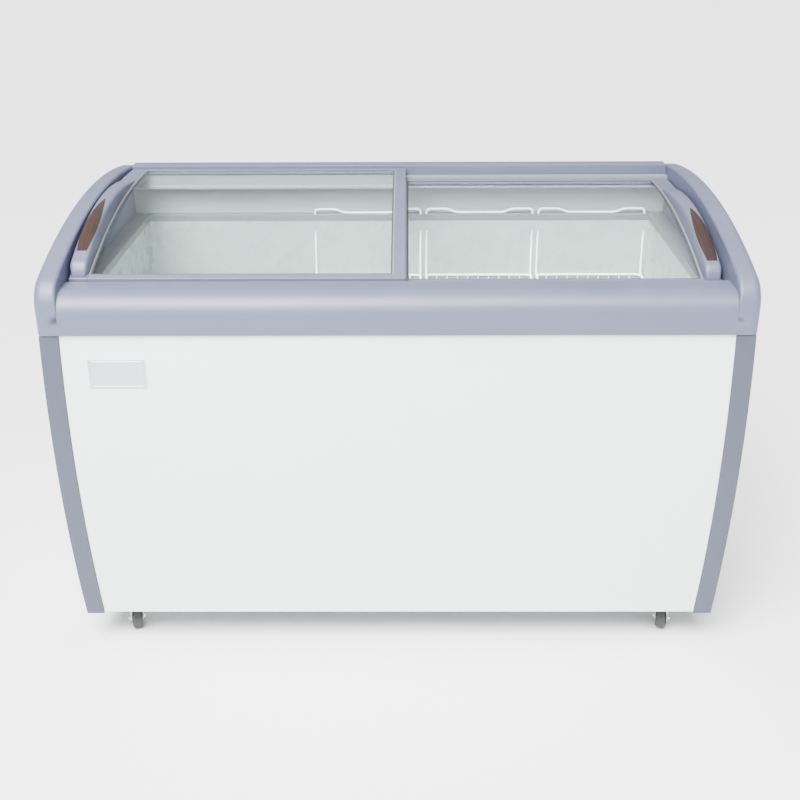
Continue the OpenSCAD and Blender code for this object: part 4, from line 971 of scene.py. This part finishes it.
@dataclass
class Lid:
    """One curved sliding lid: its glass, frame, seals, grip and wooden inlay.

    Attributes:
        side: -1 for the left lid and 1 for the right one.
        radius: radius of the glass's upper face, seen from the side.
        cover: how far the frame stands above the glass.
        frame_t: thickness of the frame.
        glass_t: thickness of the glass.
        grip_y: where along the lid the grip stands highest.
        grip_h: height of the grip above the frame.
        grip_r: radius of the grip's back, seen from the side.
        grip_tip: how far the grip's nose stays behind the lid's front edge.
        nose: length over which the nose rounds off.
        leaf_len: length of the leaf that the inlay is cut from.
        leaf_w: width of that leaf.
        CENTRE_FRONT, CENTRE_BACK, CENTRE_R: two points in Y and Z and the radius that fix the common
            centre of all the lids' curves.
        GRIP_IN: how far the grip stays inside the side rail at each side.
    """

    side: int
    radius: float
    cover: float = 2 * MM
    frame_t: float = 12 * MM
    glass_t: float = 5 * MM
    grip_y: float = -95 * MM
    grip_h: float = 30 * MM
    grip_r: float = 700 * MM
    grip_tip: float = 3 * MM
    nose: float = 15 * MM
    leaf_len: float = 260 * MM
    leaf_w: float = 27 * MM

    CENTRE_FRONT = (-245 * MM, 772 * MM)
    CENTRE_BACK = (300 * MM, 842 * MM)
    CENTRE_R = 1410 * MM
    GRIP_IN = 0.5 * MM

    def __post_init__(self) -> None:
        self.word = "left" if self.side < 0 else "right"
        self.body = f"{self.word}_lid"
        self.centre = arc_centre(self.CENTRE_FRONT, self.CENTRE_BACK, self.CENTRE_R)
        self.glass_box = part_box(f"{self.word}_lid_glass")
        self.frame_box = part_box(f"{self.word}_lid_frame")
        self.grip_box = low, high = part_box(f"{self.word}_lid_grip")
        self.middle, self.half = (low.x + high.x) / 2, (high.x - low.x) / 2 - self.GRIP_IN
        outer = self.radius + self.cover
        lean = math.asin((self.grip_y - self.centre[0]) / outer)
        reach = outer + self.grip_h - self.grip_r
        self.grip_centre = (self.centre[0] + reach * math.sin(lean), self.centre[1] + reach * math.cos(lean))

    def bar(self, name: str, x: Flat, y: Flat, outer: float, inner: float, finish: Finish,
            bevel: float) -> bpy.types.Object:
        """A curved strip of the lid, between two radii."""
        ys = steps(y[0], y[1], max(2, round((y[1] - y[0]) / (9 * MM))))
        outline = [(v, arc_z(self.centre, outer, v)) for v in ys]
        outline += [(v, arc_z(self.centre, inner, v)) for v in reversed(ys)]
        return skinned(f"{self.word}_{name}", prism(outline, *sorted(x)), self.body, finish, bevel)

    def glass(self) -> None:
        """The curved pane."""
        low, high = self.glass_box
        pane = self.bar("pane", (low.x, high.x), (low.y, high.y), self.radius, self.radius - self.glass_t,
                        LID_GLASS, 0.6 * MM)
        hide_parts(f"{self.word}_lid_glass")

    def seals(self) -> None:
        """A light lip and a dark seal where the glass meets the frame, all round."""
        low, high = self.frame_box
        front, rear, stile = low.y + 13 * MM, high.y - 18 * MM, 22 * MM
        seal_rise, sunk, edge = 0.9 * MM, 1 * MM, 0.3 * MM
        outer_x = self.grip_box[0 if self.side > 0 else 1].x
        inner_x = (high.x - stile) if self.side < 0 else (low.x + stile)
        top, lip, seal = self.radius, 2.5 * MM, 3 * MM
        ends = (("outer", outer_x, -self.side), ("inner", inner_x, self.side))
        for word, x, way in ends:
            self.bar(f"{word}_lip", (x, x + way * lip), (front, rear), top + 1.6 * MM, top - sunk,
                     TRACK_PLASTIC, edge)
            self.bar(f"{word}_seal", (x + way * lip, x + way * (lip + seal)), (front, rear),
                     top + seal_rise, top - sunk, GASKET, edge)
        for word, y in (("front", (front, front + seal)), ("rear", (rear - seal, rear))):
            self.bar(f"{word}_seal", (outer_x, inner_x), y, top + seal_rise, top - sunk, GASKET, edge)

    def back_z(self, y: float, share: float) -> float:
        """Height of the grip's surface at y, share of the way from its middle to its side."""
        base = arc_z(self.centre, self.radius + self.cover, y) - 1 * MM
        crest = arc_z(self.grip_centre, self.grip_r, y)
        blunt = max(0.0, (self.grip_box[0].y + self.grip_tip + self.nose - y) / self.nose)
        ease = math.sqrt(max(0.0, 1 - blunt**2))
        return base + max(crest - base, 0.6 * MM) * ease * (1 - min(share, 1.0) ** 5) ** 0.2

    def grip(self) -> None:
        """The side rail, and on it the rounded grip with a blunt nose towards the customer."""
        low, high = self.grip_box
        rail = self.bar("side_rail", (low.x, high.x), (low.y, high.y), self.radius + self.cover,
                        self.radius + self.cover - self.frame_t, GREY_PLASTIC, 1.2 * MM)
        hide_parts(f"{self.word}_lid_grip")
        middle, half = self.middle, self.half
        outer = self.radius + self.cover
        start = low.y + self.grip_tip
        end = next(y for y in steps(start + 60 * MM, high.y, 400)
                   if arc_z(self.grip_centre, self.grip_r, y) < arc_z(self.centre, outer, y) + 0.4 * MM
                   or y >= high.y - 1 * MM)
        ys = [start + self.nose * (1 - math.cos(a)) + 0.1 * MM for a in steps(0.1, math.pi / 2, 12)]
        ys += steps(ys[-1], end, 44)[1:]
        rings = []
        for y in ys:
            blunt = max(0.0, 1 - (y - start) / self.nose)
            width = half * (1 - 0.35 * blunt**2)
            ring = [(middle + width, y, arc_z(self.centre, outer, y) - 1 * MM)]
            for a in steps(0.0, math.pi, 20):
                across = math.copysign(abs(math.cos(a)) ** 0.45, math.cos(a))
                ring.append((middle + width * across, y, self.back_z(y, abs(across))))
            ring.append((middle - width, y, arc_z(self.centre, outer, y) - 1 * MM))
            rings.append(ring)
        skinned(f"{self.word}_grip", loft(rings), self.body, GREY_PLASTIC, sharp=50)

    def inlay(self) -> None:
        """The leaf-shaped strip of wood grain on the grip, cut flat at its lower end."""
        low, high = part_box(f"{self.word}_lid_inlay")
        middle, half = self.middle, self.half
        leaf_r = self.leaf_len**2 / (4 * self.leaf_w) + self.leaf_w / 4
        y_mid = high.y - self.leaf_len / 2
        rings = []
        for y in steps(low.y, high.y - 1.5 * MM, 56):
            reach = math.sqrt(leaf_r**2 - (y - y_mid) ** 2) - (leaf_r - self.leaf_w / 2)
            reach = max(reach, 0.3 * MM)
            top, under = [], []
            for t in steps(-1, 1, 10):
                x = reach * t
                z = self.back_z(y, abs(x) / half)
                edge = 0.35 * MM * (1 - abs(t) ** 6)
                top.append((middle + x, y, z + 0.15 * MM + edge))
                under.append((middle + x, y, z - 1.0 * MM))
            rings.append(top + under[::-1])
        piece = skinned(f"{self.word}_inlay", loft(rings), self.body, WOOD_INLAY, sharp=40)
        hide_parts(f"{self.word}_lid_inlay")

    def build(self) -> None:
        """Makes the lid."""
        refine(f"{self.word}_lid_frame", GREY_PLASTIC, 1 * MM)
        self.glass()
        self.seals()
        self.grip()
        self.inlay()


# ---------------------------------------------------------------- the baskets


@dataclass
class Basket:
    """A hanging basket of round coated wires.

    Attributes:
        node: the CAD node it stands for.
        body: the CAD body it rides on.
        frame_d: diameter of the frame wires.
        mesh_d: diameter of the mesh wires.
        pitch: spacing of the mesh wires.
        depth: depth below the rim.
        hook: how far the rear loop reaches back over the ledge.
        shoulder: drop from the rear loop's shoulders to its dip.
        dip: half the width of the dip.
        slant: run of each slope into the dip.
        corner_r: rounding of the rim's and the mesh rings' corners.
        front_y: where the basket's front wires stand.
        front_drop: how far the front loop lies below the rear loop's dip.
        lap: length over which each loop runs along the rim.
        rise: how far a loop stands above the rim where it leaves it.
        mesh_bend: bend of the mesh wires at the floor.
    """

    node: str
    body: str
    frame_d: float = 5 * MM
    mesh_d: float = 2.6 * MM
    pitch: float = 25 * MM
    depth: float = 160 * MM
    hook: float = 11 * MM
    shoulder: float = 8 * MM
    dip: float = 56 * MM
    slant: float = 16 * MM
    corner_r: float = 14 * MM
    front_y: float = -215 * MM
    front_drop: float = 3.7 * MM
    lap: float = 40 * MM
    rise: float = 4 * MM
    mesh_bend: float = 12 * MM

    def build(self) -> None:
        """Makes the basket."""
        low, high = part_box(self.node)
        d = self.frame_d
        x0, x1 = low.x + d / 2, high.x - d / 2
        cx = (x0 + x1) / 2
        y_hook, y_back = low.y + d / 2, high.y - d / 2
        y0, y1 = self.front_y, y_back - self.hook
        z_top = high.z - d / 2
        z_dip = z_top - self.shoulder
        z_rim = low.z + self.depth
        z_front = z_dip - self.front_drop
        z_foot = z_rim + self.rise

        def ring(z: float) -> list[Point]:
            corners = [(x0, y0, z), (x1, y0, z), (x1, y1, z), (x0, y1, z)]
            return rounded_path(corners, self.corner_r, closed=True)

        dip, slant, lap = self.dip, self.slant, self.lap
        rear = rounded_path([
            (x0, y1 - lap, z_rim), (x0, y1, z_foot), (x0, y_back, z_top), (cx - dip - slant, y_back, z_top),
            (cx - dip, y_back, z_dip), (cx + dip, y_back, z_dip), (cx + dip + slant, y_back, z_top),
            (x1, y_back, z_top), (x1, y1, z_foot), (x1, y1 - lap, z_rim),
        ], 9 * MM)
        front = rounded_path([
            (x0, y0 + lap, z_rim), (x0, y0, z_foot), (x0, y0, z_front), (x0, y_hook, z_front),
            (x1, y_hook, z_front), (x1, y0, z_front), (x1, y0, z_foot), (x1, y0 + lap, z_rim),
        ], 4 * MM)
        frame_wires = wires(f"{self.node}_frame", [rear, front], [ring(z_rim)], d / 2, self.body,
                            COATED_WIRE, sides=12)
        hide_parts(self.node)
        thin = self.mesh_d / 2
        floor = low.z + thin
        bend = self.mesh_bend
        lines = []
        across = round((x1 - x0) / self.pitch)
        along = round((y1 - y0) / self.pitch)
        for x in steps(x0, x1, across)[1:-1]:
            lines.append(rounded_path([(x, y0, z_rim), (x, y0, floor), (x, y1, floor), (x, y1, z_rim)], bend))
        for y in steps(y0, y1, along)[1:-1]:
            lines.append(rounded_path([(x0, y, z_rim), (x0, y, floor), (x1, y, floor), (x1, y, z_rim)], bend))
        loops = [ring(z) for z in steps(floor + self.corner_r, z_rim - 22 * MM, 5)]
        wires(f"{self.node}_mesh", lines, loops, thin, self.body, COATED_WIRE, sides=6)


# ---------------------------------------------------------------- the casters


@dataclass
class Caster:
    """A swivel caster: fork, axle, wheel and the ball race under its plate.

    Attributes:
        corner: which corner it stands at, as in the names of its nodes.
        wheel_d: diameter of the wheel.
        wheel_w: width of the wheel.
    """

    corner: str
    wheel_d: float = 50 * MM
    wheel_w: float = 20 * MM

    def build(self) -> None:
        """Makes the caster."""
        swivel = next(j for j in frame["joints"] if j["name"] == f"{self.corner}_swivel_turn")
        roll = next(j for j in frame["joints"] if j["name"] == f"{self.corner}_wheel_roll")
        refine(f"{self.corner}_fork", ZINC, 0.7 * MM)
        refine(f"{self.corner}_axle", ZINC, 0.5 * MM)
        r, w = self.wheel_d / 2, self.wheel_w / 2
        bore, boss, well = 3.06 * MM, 7 * MM, r - 7 * MM
        half = [
            (bore, w), (boss - 0.8 * MM, w), (boss, w - 0.8 * MM), (boss, w - 3.4 * MM),
            (well - 1 * MM, w - 3.8 * MM), (well, w - 3 * MM), (well + 0.6 * MM, w - 0.4 * MM),
            (well + 1.2 * MM, w), (r - 4 * MM, w), (r - 1.6 * MM, w - 1.1 * MM), (r - 0.4 * MM, w - 3 * MM),
            (r, w - 5.5 * MM),
        ]
        profile = half + [(radius, -h) for radius, h in reversed(half)] + [half[0]]
        wheel = skinned(f"{self.corner}_tyre", turned(profile, tuple(roll["pos_m"]), tuple(roll["axis"]), 64),
                        f"{self.corner}_roller", WHEEL_BLACK, sharp=40)
        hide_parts(f"{self.corner}_wheel")
        x, y, _ = swivel["pos_m"]
        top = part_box("caster_plates")[0].z - 0.1 * MM
        race = [(11.2 * MM, 0), (14.2 * MM, 0), (15 * MM, -1 * MM), (14.6 * MM, -2.6 * MM),
                (11.2 * MM, -2.6 * MM), (11.2 * MM, 0)]
        skinned(f"{self.corner}_race", turned(race, (x, y, top), (0, 0, 1), 40), "cabinet", ZINC, sharp=40)


# ---------------------------------------------------------------- the machinery


@dataclass
class Machinery:
    """What stands in the compressor compartment, seen only through the grille.

    Attributes:
        shell_r: radius of the compressor's shell.
        shell_y: distance from the compressor's rear to the middle of its shell.
        seam_share: how far up the compressor its seam lies, as a share of its height.
    """

    shell_r: float = 76 * MM
    shell_y: float = 102 * MM
    seam_share: float = 0.58

    def build(self) -> None:
        """Makes the machinery."""
        finishes = {
            "compressor": (BLACK_PAINT, 1.5), "compressor_mounts": (RUBBER, 0.8),
            "condenser": (ALUMINIUM_FIN, 0.0), "fan_shroud": (GALVANISED, 0.4),
            "fan_motor": (BLACK_PAINT, 0.6), "fan_blade": (SHADED_LIGHT_PLASTIC, 0.4),
            "filter_drier": (COPPER, 1.5), "refrigerant_lines": (COPPER, 0.0),
            "caster_plates": (ZINC, 0.5), "caster_bolts": (ZINC, 0.4),
        }
        for node, (finish, bevel) in finishes.items():
            refine(node, finish, bevel * MM)
        self.seam_ring()

    def seam_ring(self) -> None:
        """The welded flange round the compressor's shell."""
        low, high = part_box("compressor")
        middle = ((low.x + high.x) / 2, high.y - self.shell_y, low.z + self.seam_share * (high.z - low.z))
        inner, outer, tip = self.shell_r - 1 * MM, self.shell_r + 2.2 * MM, self.shell_r + 2.6 * MM
        half = 1.5 * MM
        ring = [(inner, -half), (outer, -half), (tip, 0), (outer, half), (inner, half), (inner, -half)]
        skinned("compressor_flange", turned(ring, middle, (0, 0, 1), 64), "cabinet", BLACK_PAINT, sharp=50)


# ---------------------------------------------------------------- the studio


@dataclass
class Studio:
    """A pale floor, soft lights and a camera at the customer's side.

    Attributes:
        eye: where the camera stands.
        pitch: how far it looks down, in degrees.
        yaw: how far it turns to the right, in degrees.
        roll: how far it leans, in degrees.
        lens: focal length in millimetres.
    """

    eye: Point = (18 * MM, -2190 * MM, 1405.7 * MM)
    pitch: float = 24.5
    yaw: float = -0.40
    roll: float = -0.25
    lens: float = 49.87

    def camera(self) -> None:
        """Aims the camera."""
        p, w, r = (math.radians(a) for a in (self.pitch, self.yaw, self.roll))
        ahead = Vector((math.sin(w) * math.cos(p), math.cos(w) * math.cos(p), -math.sin(p)))
        right = Vector((math.cos(w), -math.sin(w), 0.0))
        up = right.cross(ahead)
        side = right * math.cos(r) + up * math.sin(r)
        top = up * math.cos(r) - right * math.sin(r)
        data = bpy.data.cameras.new("camera")
        data.lens = self.lens
        data.sensor_width = 36.0
        data.clip_start = 0.05
        camera = bpy.data.objects.new("camera", data)
        bpy.context.scene.collection.objects.link(camera)
        turn = Matrix((side, top, -ahead)).transposed().to_4x4()
        camera.matrix_world = Matrix.Translation(self.eye) @ turn
        bpy.context.scene.camera = camera

    def lamp(self, name: str, place: Point, target: Point, size: float, power: float) -> None:
        """One square soft light."""
        data = bpy.data.lights.new(name, "AREA")
        data.shape = "SQUARE"
        data.size = size
        data.energy = power
        lamp = bpy.data.objects.new(name, data)
        bpy.context.scene.collection.objects.link(lamp)
        aim = (Vector(target) - Vector(place)).to_track_quat("-Z", "Y").to_matrix().to_4x4()
        lamp.matrix_world = Matrix.Translation(place) @ aim

    def sun(self, source: Point, spread: float, power: float) -> None:
        """One even light from far off, source pointing towards it and spread in degrees."""
        data = bpy.data.lights.new("daylight", "SUN")
        data.angle = math.radians(spread)
        data.energy = power
        sun = bpy.data.objects.new("daylight", data)
        bpy.context.scene.collection.objects.link(sun)
        sun.matrix_world = Vector(source).to_track_quat("Z", "Y").to_matrix().to_4x4()

    def floor(self) -> None:
        """A plain pale floor, far wider than the view."""
        mesh = bpy.data.meshes.new("floor")
        half = 40.0
        corners = [(-half, -half, 0), (half, -half, 0), (half, half, 0), (-half, half, 0)]
        mesh.from_pydata(corners, [], [(0, 1, 2, 3)])
        floor = bpy.data.objects.new("floor", mesh)
        bpy.context.scene.collection.objects.link(floor)
        material = bpy.data.materials.new("floor_pale")
        material.use_nodes = True
        shader = material.node_tree.nodes["Principled BSDF"]
        shader.inputs["Base Color"].default_value = (0.93, 0.93, 0.93, 1.0)
        shader.inputs["Roughness"].default_value = 0.75
        mesh.materials.append(material)

    def build(self) -> None:
        """Sets up the light and the camera."""
        world = bpy.data.worlds.new("studio")
        world.use_nodes = True
        sky = world.node_tree.nodes["Background"]
        sky.inputs["Color"].default_value = (0.97, 0.98, 1.0, 1.0)
        sky.inputs["Strength"].default_value = 0.60
        bpy.context.scene.world = world
        self.floor()
        self.sun((-0.20, -0.50, 1.0), 40, 10.5)
        self.lamp("key", (-0.7, -1.7, 2.3), (0, 0, 0.7), 1.4, 130)
        self.lamp("fill", (2.6, -2.2, 2.0), (0, 0, 0.5), 2.2, 25)
        self.camera()


def write_size() -> None:
    """Updates the view layer."""
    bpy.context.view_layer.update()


def main() -> None:
    """Builds every piece."""
    logging.basicConfig(level=logging.INFO, format="%(name)s: %(message)s")
    write_size()
    Canopy().build()
    Cabinet().build()
    Interior().build()
    for side, radius in ((-1, 1410 * MM), (1, 1389 * MM)):
        Lid(side, radius).build()
    baskets = (("basket_1", "basket_left"), ("basket_2", "basket_middle"), ("basket_3", "basket_right"))
    for node, body in baskets:
        Basket(node, body).build()
    for corner in ("front_left", "front_right", "rear_left", "rear_right"):
        Caster(corner).build()
    Machinery().build()
    Studio().build()
    write_size()


if __name__ == "__main__":
    main()
